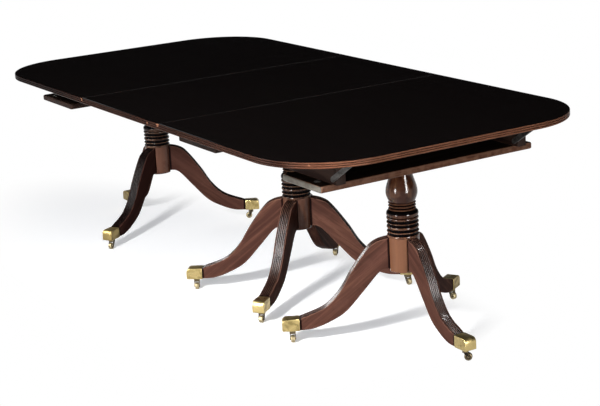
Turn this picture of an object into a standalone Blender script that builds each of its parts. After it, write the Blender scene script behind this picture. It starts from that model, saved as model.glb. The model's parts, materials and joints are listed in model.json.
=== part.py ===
"""Triple pedestal dining table: two D-ends and a leaf on turned columns with sabre legs and casters.

Metres, +Z up. +X runs along the table, +Y across it, the floor is z = 0 and the origin lies under
the middle of the footprint. Run it in Blender 4.5.
"""

import math
from typing import NamedTuple

import bmesh
import bpy
from mathutils import Matrix, Vector

# Clearance between two pieces that touch
GAP = 0.0003

# Top
TABLE_HEIGHT = 0.740
TOP_WIDTH = 1.190
TOP_THICKNESS = 0.021
TOP_CORNER_RADIUS = 0.280
TOP_CORNER_SEGMENTS = 10
LEFT_END_DEPTH = 0.900
LEAF_LENGTH = 0.630
RIGHT_END_DEPTH = 0.920
REED_COUNT = 3
REED_DEPTH = 0.0030
REED_SEGMENTS = 4

# Platforms and the bearers on them
LEFT_PLATFORM_LENGTH = 0.290
LEFT_PLATFORM_WIDTH = 0.920
MIDDLE_PLATFORM_LENGTH = 0.276
MIDDLE_PLATFORM_WIDTH = 0.806
RIGHT_PLATFORM_LENGTH = 0.230
RIGHT_PLATFORM_WIDTH = 0.848
PLATFORM_THICKNESS = 0.022
PLATFORM_CORNER_RADIUS = 0.010
PLATFORM_CORNER_SEGMENTS = 4
PLATFORM_FROM_END = 0.170
BEARER_HEIGHT = 0.089
BEARER_WIDTH = 0.036
BEARER_FROM_MIDDLE = 0.360
BEARER_PAST_PIVOT = 0.016
BEARER_NOSE = 0.014
LEAF_SUPPORT = 0.175
RIGHT_BEARER_LENGTH = 0.600

# Hinge straps between the bearers and the end tops
PIVOT_PAST_PLATFORM = 0.006
PIVOT_RISE = 0.018
HINGE_PIN_RADIUS = 0.004
HINGE_PIN_LENGTH = 0.020
STRAP_THICKNESS = 0.005
STRAP_WIDTH = 0.018
STRAP_EDGE_INSET = 0.030
STRAP_FOOT_LENGTH = 0.028
STRAP_FOOT_WIDTH = 0.030
STRAP_FOOT_THICKNESS = 0.004

# Where the columns stand
LEFT_COLUMN_FROM_END = 0.280
MIDDLE_COLUMN_FROM_SEAM = 0.100
RIGHT_COLUMN_FROM_END = 0.340

# Column, from the block upwards
COLUMN_BOTTOM = 0.234
BLOCK_HEIGHT = 0.118
BLOCK_RADIUS = 0.054
BLOCK_ROUNDING = 0.004
COLLAR_HEIGHT = 0.068
COLLAR_RADIUS = 0.0545
WIDE_BAND = 0.014
THIN_BAND = 0.005
GROOVE_WIDTH = 0.004
GROOVE_DEPTH = 0.004
TORUS_HEIGHT = 0.0232
TORUS_RADIUS = 0.0545
RING_COUNT = 3
RINGS_HEIGHT = 0.0313
RING_BULGE = 0.0025
VASE_FOOT_HEIGHT = 0.0315
VASE_FOOT_RADIUS = 0.0445
VASE_BELLY_RADIUS = 0.0537
NECK_RADIUS = 0.037
SCOTIA_HEIGHT = 0.0157
FLANGE_HEIGHT = 0.012
FLANGE_RADIUS = 0.050
FLANGE_LIP = 0.004
COLUMN_STEPS = 20

# Legs
LEG_THICKNESS = 0.042
LEG_SEAT_DEPTH = 0.005
LEG_SEAT_RISE = 0.008
LEG_SEAT_HEIGHT = 0.109
TENON_LENGTH = 0.0165
TENON_SHOULDER = 0.005
TENON_ROOT = 0.004
LEG_CURVE_STEPS = 3

# Toe caps and casters
OUTER_REACH = 0.320
SIDE_REACH = 0.390
MIDDLE_REACH = 0.400
END_LEG_SPREAD = 60
MIDDLE_LEG_SPREAD = 52.3
CASTER_HEIGHT = 0.042
CAP_BACK = 0.025
CAP_TOE = 0.035
CAP_HEIGHT = 0.042
CAP_PROUD = 0.0015
CAP_TOE_RADIUS = 0.016
CAP_SOLE_RADIUS = 0.004
CAP_CHAMFER = 0.0012
PINTLE_RADIUS = 0.004
PINTLE_LENGTH = 0.016
PLATE_RADIUS = 0.0115
PLATE_THICKNESS = 0.004
TRAIL = 0.012
WHEEL_RADIUS = 0.0135
WHEEL_WIDTH = 0.014
WHEEL_ROUNDING = 0.003
WHEEL_SIDE_GAP = 0.0006
WHEEL_STEPS = 16
AXLE_RADIUS = 0.003
CHEEK_THICKNESS = 0.003
CHEEK_TOP_WIDTH = 0.012
CHEEK_BOSS_RADIUS = 0.0055
ROUND_SIDES = 12

# Heights
TOP_UNDERSIDE = TABLE_HEIGHT - TOP_THICKNESS
PLATFORM_TOP = TOP_UNDERSIDE - BEARER_HEIGHT
PLATFORM_BOTTOM = PLATFORM_TOP - PLATFORM_THICKNESS
BLOCK_TOP = COLUMN_BOTTOM + BLOCK_HEIGHT
COLLAR_TOP = BLOCK_TOP + COLLAR_HEIGHT
TORUS_TOP = COLLAR_TOP + TORUS_HEIGHT
RINGS_TOP = TORUS_TOP + RINGS_HEIGHT
BELLY_Z = RINGS_TOP + VASE_FOOT_HEIGHT
COLUMN_TOP = PLATFORM_BOTTOM - GAP
FLANGE_BOTTOM = COLUMN_TOP - FLANGE_HEIGHT
NECK_Z = FLANGE_BOTTOM - SCOTIA_HEIGHT
LEG_SEAT_BOTTOM = COLUMN_BOTTOM + LEG_SEAT_RISE
LEG_SEAT_TOP = LEG_SEAT_BOTTOM + LEG_SEAT_HEIGHT
LEG_SEAT_RADIUS = BLOCK_RADIUS - LEG_SEAT_DEPTH
CAP_TOP = CASTER_HEIGHT + CAP_HEIGHT
AXLE_HEIGHT = WHEEL_RADIUS * math.cos(math.pi / WHEEL_STEPS)
PIVOT_Z = PLATFORM_TOP + PIVOT_RISE

# Places along the table
TOP_LENGTH = LEFT_END_DEPTH + LEAF_LENGTH + RIGHT_END_DEPTH
TOE_REACH = OUTER_REACH + CAP_TOE
LEFT_OVERHANG = max(0.0, TOE_REACH - LEFT_COLUMN_FROM_END)
RIGHT_OVERHANG = max(0.0, TOE_REACH - RIGHT_COLUMN_FROM_END)
TOP_LEFT_X = LEFT_OVERHANG - (LEFT_OVERHANG + TOP_LENGTH + RIGHT_OVERHANG) / 2
TOP_RIGHT_X = TOP_LEFT_X + TOP_LENGTH
LEFT_SEAM_X = TOP_LEFT_X + LEFT_END_DEPTH
RIGHT_SEAM_X = LEFT_SEAM_X + LEAF_LENGTH
LEFT_COLUMN_X = TOP_LEFT_X + LEFT_COLUMN_FROM_END
MIDDLE_COLUMN_X = RIGHT_SEAM_X - MIDDLE_COLUMN_FROM_SEAM
RIGHT_COLUMN_X = TOP_RIGHT_X - RIGHT_COLUMN_FROM_END
PIVOT_FROM_END = PLATFORM_FROM_END - PIVOT_PAST_PLATFORM
LEFT_PIVOT_X = TOP_LEFT_X + PIVOT_FROM_END
RIGHT_PIVOT_X = TOP_RIGHT_X - PIVOT_FROM_END
STRAP_RUN = PIVOT_FROM_END - STRAP_EDGE_INSET - STRAP_FOOT_LENGTH

# The sabre curve: points along a leg's upper and lower edges, as shares of its run and of its fall
UPPER_EDGE_SHARES = ((0.12, 0.966), (0.217, 0.895), (0.418, 0.581), (0.554, 0.322), (0.718, 0.135))
LOWER_EDGE_SHARES = ((0.86, 0.015), (0.70, 0.101), (0.502, 0.278), (0.303, 0.621), (0.136, 0.929), (0.07, 0.995))

# Which way each caster trails, in degrees from +X
CASTER_HEADINGS = {
    "left_outer": -90,
    "left_near": -55,
    "left_far": -110,
    "middle_near_left": -31,
    "middle_near_right": -48,
    "middle_far_left": -45,
    "middle_far_right": -5,
    "right_outer": 45,
    "right_near": -31,
    "right_far": 5,
}


class Pedestal(NamedTuple):
    """A column, its platform and its legs: each leg's angle from +X and the reach of its caster."""

    name: str
    column_x: float
    platform_x: float
    platform_length: float
    platform_width: float
    legs: dict[str, tuple[float, float]]


PEDESTALS = (
    Pedestal(
        "left",
        LEFT_COLUMN_X,
        TOP_LEFT_X + PLATFORM_FROM_END + LEFT_PLATFORM_LENGTH / 2,
        LEFT_PLATFORM_LENGTH,
        LEFT_PLATFORM_WIDTH,
        {
            "outer": (180, OUTER_REACH),
            "near": (-END_LEG_SPREAD, SIDE_REACH),
            "far": (END_LEG_SPREAD, SIDE_REACH),
        },
    ),
    Pedestal(
        "middle",
        MIDDLE_COLUMN_X,
        MIDDLE_COLUMN_X,
        MIDDLE_PLATFORM_LENGTH,
        MIDDLE_PLATFORM_WIDTH,
        {
            "near_left": (MIDDLE_LEG_SPREAD - 180, MIDDLE_REACH),
            "near_right": (-MIDDLE_LEG_SPREAD, MIDDLE_REACH),
            "far_left": (180 - MIDDLE_LEG_SPREAD, MIDDLE_REACH),
            "far_right": (MIDDLE_LEG_SPREAD, MIDDLE_REACH),
        },
    ),
    Pedestal(
        "right",
        RIGHT_COLUMN_X,
        TOP_RIGHT_X - PLATFORM_FROM_END - RIGHT_PLATFORM_LENGTH / 2,
        RIGHT_PLATFORM_LENGTH,
        RIGHT_PLATFORM_WIDTH,
        {
            "outer": (0, OUTER_REACH),
            "near": (END_LEG_SPREAD - 180, SIDE_REACH),
            "far": (180 - END_LEG_SPREAD, SIDE_REACH),
        },
    ),
)


def new_collection(name):
    """A collection of that name, linked to the scene."""
    collection = bpy.data.collections.new(name)
    bpy.context.scene.collection.children.link(collection)
    return collection


def new_material(name, colour, roughness, metallic=0.0):
    """A Principled material."""
    material = bpy.data.materials.new(name)
    material.use_nodes = True
    shader = material.node_tree.nodes["Principled BSDF"]
    shader.inputs["Base Color"].default_value = (*colour, 1.0)
    shader.inputs["Roughness"].default_value = roughness
    shader.inputs["Metallic"].default_value = metallic
    material.diffuse_color = (*colour, 1.0)
    return material


for old_object in list(bpy.data.objects):
    bpy.data.objects.remove(old_object, do_unlink=True)

TABLE = new_collection("triple_pedestal_dining_table")
CUTTERS = new_collection("cutters")
POLISHED_MAHOGANY = new_material("polished_mahogany", (0.030, 0.014, 0.010), 0.12)
MAHOGANY = new_material("mahogany", (0.130, 0.045, 0.026), 0.28)
PLAIN_WOOD = new_material("plain_wood", (0.090, 0.042, 0.026), 0.55)
BRASS = new_material("brass", (0.560, 0.400, 0.160), 0.30, 1.0)
DARK_BRASS = new_material("dark_brass", (0.110, 0.080, 0.040), 0.42, 1.0)
STEEL = new_material("steel", (0.430, 0.430, 0.440), 0.38, 1.0)


def add_part(name, data, material, location, rotation=(0, 0, 0), parent=None):
    """One piece of the table as an object of its own."""
    part = bpy.data.objects.new(name, data)
    part.location = location
    part.rotation_euler = rotation
    part.parent = parent
    if not data.materials:
        data.materials.append(material)
    TABLE.objects.link(part)
    return part


def add_cutter(name, data, location=(0, 0, 0), rotation=(0, 0, 0)):
    """A helper solid, which cuts or joins a piece and is no piece itself."""
    cutter = bpy.data.objects.new(name, data)
    cutter.location = location
    cutter.rotation_euler = rotation
    cutter.hide_render = True
    cutter.display_type = "WIRE"
    CUTTERS.objects.link(cutter)
    return cutter


def finish_mesh(work, name):
    """The bmesh as a mesh, welded, facing out and smooth between sharp edges."""
    bmesh.ops.remove_doubles(work, verts=work.verts, dist=0.00001)
    bmesh.ops.recalc_face_normals(work, faces=work.faces)
    mesh = bpy.data.meshes.new(name)
    work.to_mesh(mesh)
    work.free()
    mesh.shade_smooth()
    mesh.set_sharp_from_angle(angle=math.radians(32))
    return mesh


def baked(source, name):
    """The object's evaluated shape as a mesh in world coordinates; the object is removed."""
    bpy.context.view_layer.update()
    evaluated = source.evaluated_get(bpy.context.evaluated_depsgraph_get())
    raw = bpy.data.meshes.new_from_object(evaluated)
    raw.transform(source.matrix_world)
    work = bmesh.new()
    work.from_mesh(raw)
    bpy.data.meshes.remove(raw)
    bpy.data.objects.remove(source, do_unlink=True)
    return finish_mesh(work, name)


def add_boolean(target, other, operation):
    """A Boolean modifier on the target."""
    modifier = target.modifiers.new(other.name, "BOOLEAN")
    modifier.operation = operation
    modifier.object = other


def joined(name, base, additions=(), cuts=()):
    """One mesh from the base, what is added to it and what is then cut from it."""
    for other in additions:
        add_boolean(base, other, "UNION")
    for other in cuts:
        add_boolean(base, other, "DIFFERENCE")
    mesh = baked(base, name)
    for other in (*additions, *cuts):
        bpy.data.objects.remove(other, do_unlink=True)
    return mesh


def box_mesh(name, low, high):
    """A box between two corners."""
    work = bmesh.new()
    bmesh.ops.create_cube(work, size=1.0)
    size = Vector(high) - Vector(low)
    middle = (Vector(high) + Vector(low)) / 2
    bmesh.ops.transform(work, matrix=Matrix.Translation(middle) @ Matrix.Diagonal((*size, 1.0)), verts=work.verts)
    return finish_mesh(work, name)


def rod_mesh(name, radius, start, end, sides=ROUND_SIDES):
    """A round bar between two points."""
    start, end = Vector(start), Vector(end)
    work = bmesh.new()
    bmesh.ops.create_cone(
        work, cap_ends=True, segments=sides, radius1=radius, radius2=radius, depth=(end - start).length
    )
    turn = Vector((0, 0, 1)).rotation_difference(end - start).to_matrix().to_4x4()
    bmesh.ops.transform(work, matrix=Matrix.Translation((start + end) / 2) @ turn, verts=work.verts)
    return finish_mesh(work, name)


def hull_mesh(name, points):
    """The tight skin round a set of points."""
    work = bmesh.new()
    for point in points:
        work.verts.new(point)
    skin = bmesh.ops.convex_hull(work, input=work.verts)
    loose = {item for item in skin["geom_interior"] + skin["geom_unused"] if isinstance(item, bmesh.types.BMVert)}
    bmesh.ops.delete(work, geom=list(loose), context="VERTS")
    return finish_mesh(work, name)


def arc(centre, radius, start, end, segments):
    """Points of an arc in a plane, with its angles in degrees."""
    angles = [math.radians(start + (end - start) * step / segments) for step in range(segments + 1)]
    return [(centre[0] + radius * math.cos(angle), centre[1] + radius * math.sin(angle)) for angle in angles]


def flat_curve(name, outline, thickness, chamfer=0.0):
    """A flat piece: a closed outline, filled and given its thickness along the curve's Z."""
    curve = bpy.data.curves.new(name, "CURVE")
    curve.dimensions = "2D"
    curve.fill_mode = "BOTH"
    curve.extrude = thickness / 2 - chamfer
    curve.bevel_depth = chamfer
    curve.bevel_resolution = 0
    curve.offset = -chamfer
    spline = curve.splines.new("POLY")
    spline.points.add(len(outline) - 1)
    for point, (x, y) in zip(spline.points, outline, strict=True):
        point.co = (x, y, 0.0, 1.0)
    spline.use_cyclic_u = True
    return curve


def reeded_edge():
    """The top's edge from below upwards, as pairs of inset and height."""
    reed_height = TOP_THICKNESS / REED_COUNT
    points = [(REED_DEPTH, TOP_UNDERSIDE)]
    for reed in range(REED_COUNT):
        middle = TOP_UNDERSIDE + (reed + 0.5) * reed_height
        for step in range(1, REED_SEGMENTS + 1):
            angle = math.pi * (step / REED_SEGMENTS - 0.5)
            inset = REED_DEPTH * (1 - math.cos(angle))
            points.append((inset, middle + reed_height / 2 * math.sin(angle)))
    return points


def end_outline(seam_x, outward, depth, inset):
    """Plan outline of a D-end: the seam is straight and the other sides move in by the inset."""
    half_width = TOP_WIDTH / 2 - inset
    corner_x = depth - TOP_CORNER_RADIUS
    corner_y = TOP_WIDTH / 2 - TOP_CORNER_RADIUS
    radius = TOP_CORNER_RADIUS - inset
    near = arc((corner_x, -corner_y), radius, -90, 0, TOP_CORNER_SEGMENTS)
    far = arc((corner_x, corner_y), radius, 0, 90, TOP_CORNER_SEGMENTS)
    outline = [(0.0, -half_width), *near, *far, (0.0, half_width)]
    return [(seam_x + outward * x, y) for x, y in outline]


def leaf_outline(inset):
    """Plan outline of the leaf: straight seams and reeded long sides."""
    half_width = TOP_WIDTH / 2 - inset
    left, right = LEFT_SEAM_X + GAP / 2, RIGHT_SEAM_X - GAP / 2
    return [(left, -half_width), (right, -half_width), (right, half_width), (left, half_width)]


def lofted_top(name, outline_at, origin):
    """A top section: its outline at each height of the reeded edge, skinned and closed."""
    work = bmesh.new()
    rings = []
    for inset, z in reeded_edge():
        rings.append([work.verts.new(Vector((x, y, z)) - Vector(origin)) for x, y in outline_at(inset)])
    for lower, upper in zip(rings, rings[1:]):
        for index in range(len(lower)):
            work.faces.new((lower[index - 1], lower[index], upper[index], upper[index - 1]))
    work.faces.new(rings[0])
    work.faces.new(rings[-1])
    return finish_mesh(work, name)


def build_tops():
    """The two D-ends, each with its origin on its tipping axis, and the loose leaf."""
    for side, outward, seam_x, depth, pivot_x in (
        ("left", -1, LEFT_SEAM_X - GAP / 2, LEFT_END_DEPTH - GAP / 2, LEFT_PIVOT_X),
        ("right", 1, RIGHT_SEAM_X + GAP / 2, RIGHT_END_DEPTH - GAP / 2, RIGHT_PIVOT_X),
    ):
        origin = (pivot_x, 0.0, PIVOT_Z)

        def outline_at(inset, seam_x=seam_x, outward=outward, depth=depth):
            return end_outline(seam_x, outward, depth, inset)

        mesh = lofted_top(f"top_{side}_end", outline_at, origin)
        add_part(f"top_{side}_end", mesh, POLISHED_MAHOGANY, origin)
    origin = ((LEFT_SEAM_X + RIGHT_SEAM_X) / 2, 0.0, TOP_UNDERSIDE)
    add_part("top_leaf", lofted_top("top_leaf", leaf_outline, origin), POLISHED_MAHOGANY, origin)


def platform_outline(length, width):
    """Plan outline of a platform board with rounded corners."""
    outline = []
    for quarter, (side_x, side_y) in enumerate(((1, 1), (-1, 1), (-1, -1), (1, -1))):
        centre = (
            side_x * (length / 2 - PLATFORM_CORNER_RADIUS),
            side_y * (width / 2 - PLATFORM_CORNER_RADIUS),
        )
        start = 90 * quarter
        outline += arc(centre, PLATFORM_CORNER_RADIUS, start, start + 90, PLATFORM_CORNER_SEGMENTS)
    return outline


def bearer_mesh(name, inner_x, outer_x, pivot_x=None):
    """A bearer along X, centred on its own Y; an end bearer has a cut nose and a bore for the hinge pin."""
    low, high = PLATFORM_TOP + GAP, TOP_UNDERSIDE - GAP
    if pivot_x is None:
        return box_mesh(name, (inner_x, -BEARER_WIDTH / 2, low), (outer_x, BEARER_WIDTH / 2, high))
    outline = [(inner_x, low), (outer_x, low), (outer_x, high - BEARER_NOSE), (pivot_x, high), (inner_x, high)]
    blank = add_cutter("bearer_blank", flat_curve("bearer_blank", outline, BEARER_WIDTH), rotation=(math.pi / 2, 0, 0))
    body = add_cutter("bearer_body", baked(blank, "bearer_body"))
    face_y = -BEARER_WIDTH / 2
    bore = rod_mesh(
        "bearer_bore",
        HINGE_PIN_RADIUS + GAP,
        (pivot_x, face_y - STRAP_THICKNESS, PIVOT_Z),
        (pivot_x, face_y + HINGE_PIN_LENGTH + GAP, PIVOT_Z),
    )
    return joined(name, body, cuts=(add_cutter("bearer_bore", bore),))


def build_platforms_and_bearers():
    """A board on each column, with two bearers on it that carry the tops."""
    for pedestal in PEDESTALS:
        outline = platform_outline(pedestal.platform_length, pedestal.platform_width)
        add_part(
            f"platform_{pedestal.name}",
            flat_curve("platform", outline, PLATFORM_THICKNESS),
            PLAIN_WOOD,
            (pedestal.platform_x, 0.0, PLATFORM_BOTTOM + PLATFORM_THICKNESS / 2),
        )
    spans = {
        "left": (LEFT_SEAM_X + LEAF_SUPPORT, LEFT_PIVOT_X - BEARER_PAST_PIVOT, LEFT_PIVOT_X),
        "middle": (
            MIDDLE_COLUMN_X - MIDDLE_PLATFORM_LENGTH / 2,
            MIDDLE_COLUMN_X + MIDDLE_PLATFORM_LENGTH / 2,
            None,
        ),
        "right": (
            RIGHT_PIVOT_X + BEARER_PAST_PIVOT - RIGHT_BEARER_LENGTH,
            RIGHT_PIVOT_X + BEARER_PAST_PIVOT,
            RIGHT_PIVOT_X,
        ),
    }
    for name, (inner_x, outer_x, pivot_x) in spans.items():
        for side, side_y in (("near", -1), ("far", 1)):
            mesh = bearer_mesh(f"bearer_{name}_{side}", inner_x, outer_x, pivot_x)
            add_part(f"bearer_{name}_{side}", mesh, PLAIN_WOOD, (0.0, side_y * BEARER_FROM_MIDDLE, 0.0))


def strap_mesh(name, outward):
    """A strap about its pivot: pin, eye, slanting bar and the foot under the top, one forging."""
    foot_top = TOP_UNDERSIDE - GAP - PIVOT_Z
    foot_bottom = foot_top - STRAP_FOOT_THICKNESS
    face_y = -GAP
    back_y = -GAP - STRAP_THICKNESS
    eye = arc((0.0, 0.0), STRAP_WIDTH / 2, 0, 360, ROUND_SIDES)
    top_bar = [
        (outward * x, z)
        for x in (STRAP_RUN - STRAP_WIDTH / 2, STRAP_RUN + STRAP_WIDTH / 2)
        for z in (foot_bottom - STRAP_FOOT_THICKNESS, foot_top)
    ]
    bar = hull_mesh("bar", [(x, y, z) for x, z in (*eye, *top_bar) for y in (face_y, back_y)])
    foot_start = outward * STRAP_RUN
    foot_end = outward * (STRAP_RUN + STRAP_FOOT_LENGTH)
    foot_far = -GAP - STRAP_FOOT_WIDTH
    inset_y = -GAP - STRAP_THICKNESS / 2
    foot = box_mesh(
        "foot",
        (min(foot_start, foot_end), foot_far, foot_bottom),
        (max(foot_start, foot_end), inset_y, foot_top),
    )
    pin = rod_mesh("pin", HINGE_PIN_RADIUS, (0.0, inset_y, 0.0), (0.0, HINGE_PIN_LENGTH, 0.0))
    return joined(name, add_cutter("bar", bar), (add_cutter("foot", foot), add_cutter("pin", pin)))


def build_straps():
    """Two hinge straps at each end, on the near faces of the bearers."""
    for end, outward, pivot_x in (("left", -1, LEFT_PIVOT_X), ("right", 1, RIGHT_PIVOT_X)):
        for side, side_y in (("near", -1), ("far", 1)):
            name = f"hinge_strap_{end}_{side}"
            face_y = side_y * BEARER_FROM_MIDDLE - BEARER_WIDTH / 2
            add_part(name, strap_mesh(name, outward), STEEL, (pivot_x, face_y, PIVOT_Z))


def column_profile():
    """Half the column's outline, from the axis at its top down its outer side to the axis at its foot."""
    points = [(0.0, COLUMN_TOP), (FLANGE_RADIUS, COLUMN_TOP), (FLANGE_RADIUS, FLANGE_BOTTOM)]
    scotia_start = FLANGE_RADIUS - FLANGE_LIP
    for share in (0.0, 0.4, 1.0):
        hollow = 1 - math.sin(share * math.pi / 2)
        points.append((NECK_RADIUS + (scotia_start - NECK_RADIUS) * hollow, FLANGE_BOTTOM - SCOTIA_HEIGHT * share))
    shoulder_steps = 6
    for step in range(1, shoulder_steps + 1):
        share = step / shoulder_steps
        swell = share * share * (3 - 2 * share)
        points.append((NECK_RADIUS + (VASE_BELLY_RADIUS - NECK_RADIUS) * swell, NECK_Z + (BELLY_Z - NECK_Z) * share))
    foot_steps = 4
    for step in range(1, foot_steps + 1):
        share = step / foot_steps
        swell = math.cos(share * math.pi / 2)
        radius = VASE_FOOT_RADIUS + (VASE_BELLY_RADIUS - VASE_FOOT_RADIUS) * swell
        points.append((radius, BELLY_Z - VASE_FOOT_HEIGHT * share))
    ring_height = RINGS_HEIGHT / RING_COUNT
    for ring in range(RING_COUNT):
        for share in (0.25, 0.75, 1.0):
            bulge = RING_BULGE * math.sin(share * math.pi)
            points.append((VASE_FOOT_RADIUS + bulge, RINGS_TOP - ring_height * (ring + share)))
    for share in (0.15, 0.5, 0.85):
        bulge = math.sqrt(1 - (2 * share - 1) ** 2)
        points.append((VASE_FOOT_RADIUS + (TORUS_RADIUS - VASE_FOOT_RADIUS) * bulge, TORUS_TOP - TORUS_HEIGHT * share))
    points += [(VASE_FOOT_RADIUS, COLLAR_TOP), (COLLAR_RADIUS, COLLAR_TOP)]
    z = COLLAR_TOP
    for band in (WIDE_BAND, THIN_BAND, WIDE_BAND, THIN_BAND):
        z -= band
        points.append((COLLAR_RADIUS, z))
        points.append((COLLAR_RADIUS - GROOVE_DEPTH, z - GROOVE_WIDTH / 2))
        z -= GROOVE_WIDTH
        points.append((COLLAR_RADIUS, z))
    points += [(COLLAR_RADIUS, BLOCK_TOP), (BLOCK_RADIUS, BLOCK_TOP)]
    points.append((BLOCK_RADIUS, COLUMN_BOTTOM + BLOCK_ROUNDING))
    points += [(BLOCK_RADIUS - BLOCK_ROUNDING, COLUMN_BOTTOM), (0.0, COLUMN_BOTTOM)]
    return points


def build_column(pedestal, anchor):
    """A turned column, with a flat on its block for each leg."""
    profile = column_profile()
    mesh = bpy.data.meshes.new(f"column_{pedestal.name}")
    edges = [(index, index + 1) for index in range(len(profile) - 1)]
    mesh.from_pydata([(radius, 0.0, z) for radius, z in profile], edges, [])
    column = add_part(f"column_{pedestal.name}", mesh, MAHOGANY, (0, 0, 0), parent=anchor)
    turning = column.modifiers.new("turning", "SCREW")
    turning.steps = COLUMN_STEPS
    turning.render_steps = COLUMN_STEPS
    turning.use_merge_vertices = True
    turning.merge_threshold = 0.00001
    turning.use_smooth_shade = True
    for leg, (angle, _reach) in pedestal.legs.items():
        flat = box_mesh(
            "leg_seat",
            (LEG_SEAT_RADIUS, -BLOCK_RADIUS, COLUMN_BOTTOM - LEG_SEAT_RISE),
            (BLOCK_RADIUS + LEG_SEAT_DEPTH, BLOCK_RADIUS, LEG_SEAT_TOP + GAP),
        )
        name = f"leg_seat_{pedestal.name}_{leg}"
        cutter = add_cutter(name, flat, (pedestal.column_x, 0, 0), (0, 0, math.radians(angle)))
        add_boolean(column, cutter, "DIFFERENCE")


def sabre_leg_mesh(name, reach):
    """A leg along +X from its seat on the column to the tenon that enters the toe cap."""
    start = LEG_SEAT_RADIUS + GAP
    end = reach - CAP_BACK - GAP
    foot_bottom = CASTER_HEIGHT + CAP_PROUD
    foot_top = CAP_TOP - CAP_PROUD
    upper = [
        (start + (end - start) * run, foot_top + (LEG_SEAT_TOP - foot_top) * rise) for run, rise in UPPER_EDGE_SHARES
    ]
    lower = [
        (start + (end - start) * run, foot_bottom + (LEG_SEAT_BOTTOM - foot_bottom) * rise)
        for run, rise in LOWER_EDGE_SHARES
    ]
    corners = ((start, LEG_SEAT_BOTTOM), (start, LEG_SEAT_TOP), (end, foot_top), (end, foot_bottom))
    outline = [*corners[:2], *upper, *corners[2:], *lower]
    curve = bpy.data.curves.new("leg_blank", "CURVE")
    curve.dimensions = "2D"
    curve.fill_mode = "BOTH"
    curve.extrude = LEG_THICKNESS / 2
    curve.resolution_u = LEG_CURVE_STEPS
    spline = curve.splines.new("BEZIER")
    spline.bezier_points.add(len(outline) - 1)
    for point, (x, z) in zip(spline.bezier_points, outline, strict=True):
        handle = "VECTOR" if (x, z) in corners else "AUTO"
        point.co = (x, z, 0.0)
        point.handle_left_type = handle
        point.handle_right_type = handle
    spline.use_cyclic_u = True
    blank = add_cutter("leg_blank", curve, rotation=(math.pi / 2, 0, 0))
    body = add_cutter("leg_body", baked(blank, "leg_body"))
    half_tenon = LEG_THICKNESS / 2 - TENON_SHOULDER
    tenon = box_mesh(
        "tenon",
        (end - TENON_ROOT, -half_tenon, foot_bottom + TENON_SHOULDER),
        (end + TENON_LENGTH, half_tenon, foot_top - TENON_SHOULDER),
    )
    return joined(name, body, (add_cutter("tenon", tenon),))


def toe_cap_mesh():
    """A box cap about its caster's axis: round toe in front, pocket for the tenon behind, bore below."""
    front = CAP_TOE - CAP_TOE_RADIUS
    sole = arc((CAP_TOE - CAP_SOLE_RADIUS, CASTER_HEIGHT + CAP_SOLE_RADIUS), CAP_SOLE_RADIUS, -90, 0, 2)
    toe = arc((front, CAP_TOP - CAP_TOE_RADIUS), CAP_TOE_RADIUS, 0, 90, 5)
    outline = [(-CAP_BACK, CASTER_HEIGHT), *sole, *toe, (-CAP_BACK, CAP_TOP)]
    width = LEG_THICKNESS + 2 * CAP_PROUD
    blank = add_cutter("cap_blank", flat_curve("cap_blank", outline, width, CAP_CHAMFER), rotation=(math.pi / 2, 0, 0))
    body = add_cutter("cap_body", baked(blank, "cap_body"))
    half_pocket = LEG_THICKNESS / 2 - TENON_SHOULDER + GAP
    pocket_wall = CAP_PROUD + TENON_SHOULDER - GAP
    pocket = box_mesh(
        "pocket",
        (-CAP_BACK - TENON_LENGTH, -half_pocket, CASTER_HEIGHT + pocket_wall),
        (-CAP_BACK + TENON_LENGTH, half_pocket, CAP_TOP - pocket_wall),
    )
    bore = rod_mesh(
        "pintle_bore",
        PINTLE_RADIUS + GAP,
        (0, 0, CASTER_HEIGHT - PLATE_THICKNESS),
        (0, 0, CASTER_HEIGHT + PINTLE_LENGTH + GAP),
    )
    return joined("toe_cap", body, cuts=(add_cutter("pocket", pocket), add_cutter("pintle_bore", bore)))


def caster_fork_mesh():
    """A fork about its swivel axis, trailing along +X: plate, pintle, two cheeks and the axle."""
    plate_top = CASTER_HEIGHT - GAP
    plate_bottom = plate_top - PLATE_THICKNESS
    plate_middle = plate_top - PLATE_THICKNESS / 2
    inner_y = WHEEL_WIDTH / 2 + WHEEL_SIDE_GAP
    outer_y = inner_y + CHEEK_THICKNESS
    boss = arc((TRAIL, AXLE_HEIGHT), CHEEK_BOSS_RADIUS, 0, 360, ROUND_SIDES)
    crown = [(x, z) for x in (-CHEEK_TOP_WIDTH / 2, CHEEK_TOP_WIDTH / 2) for z in (plate_bottom, plate_middle)]
    pieces = [rod_mesh("pintle", PINTLE_RADIUS, (0, 0, plate_middle), (0, 0, plate_top + PINTLE_LENGTH))]
    for side in (-1, 1):
        cheek = [(x, side * y, z) for x, z in (*boss, *crown) for y in (inner_y, outer_y)]
        pieces.append(hull_mesh("cheek", cheek))
    axle_end = (inner_y + outer_y) / 2
    pieces.append(rod_mesh("axle", AXLE_RADIUS, (TRAIL, -axle_end, AXLE_HEIGHT), (TRAIL, axle_end, AXLE_HEIGHT)))
    plate = add_cutter("plate", rod_mesh("plate", PLATE_RADIUS, (0, 0, plate_bottom), (0, 0, plate_top)))
    return joined("caster_fork", plate, [add_cutter(piece.name, piece) for piece in pieces])


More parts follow.
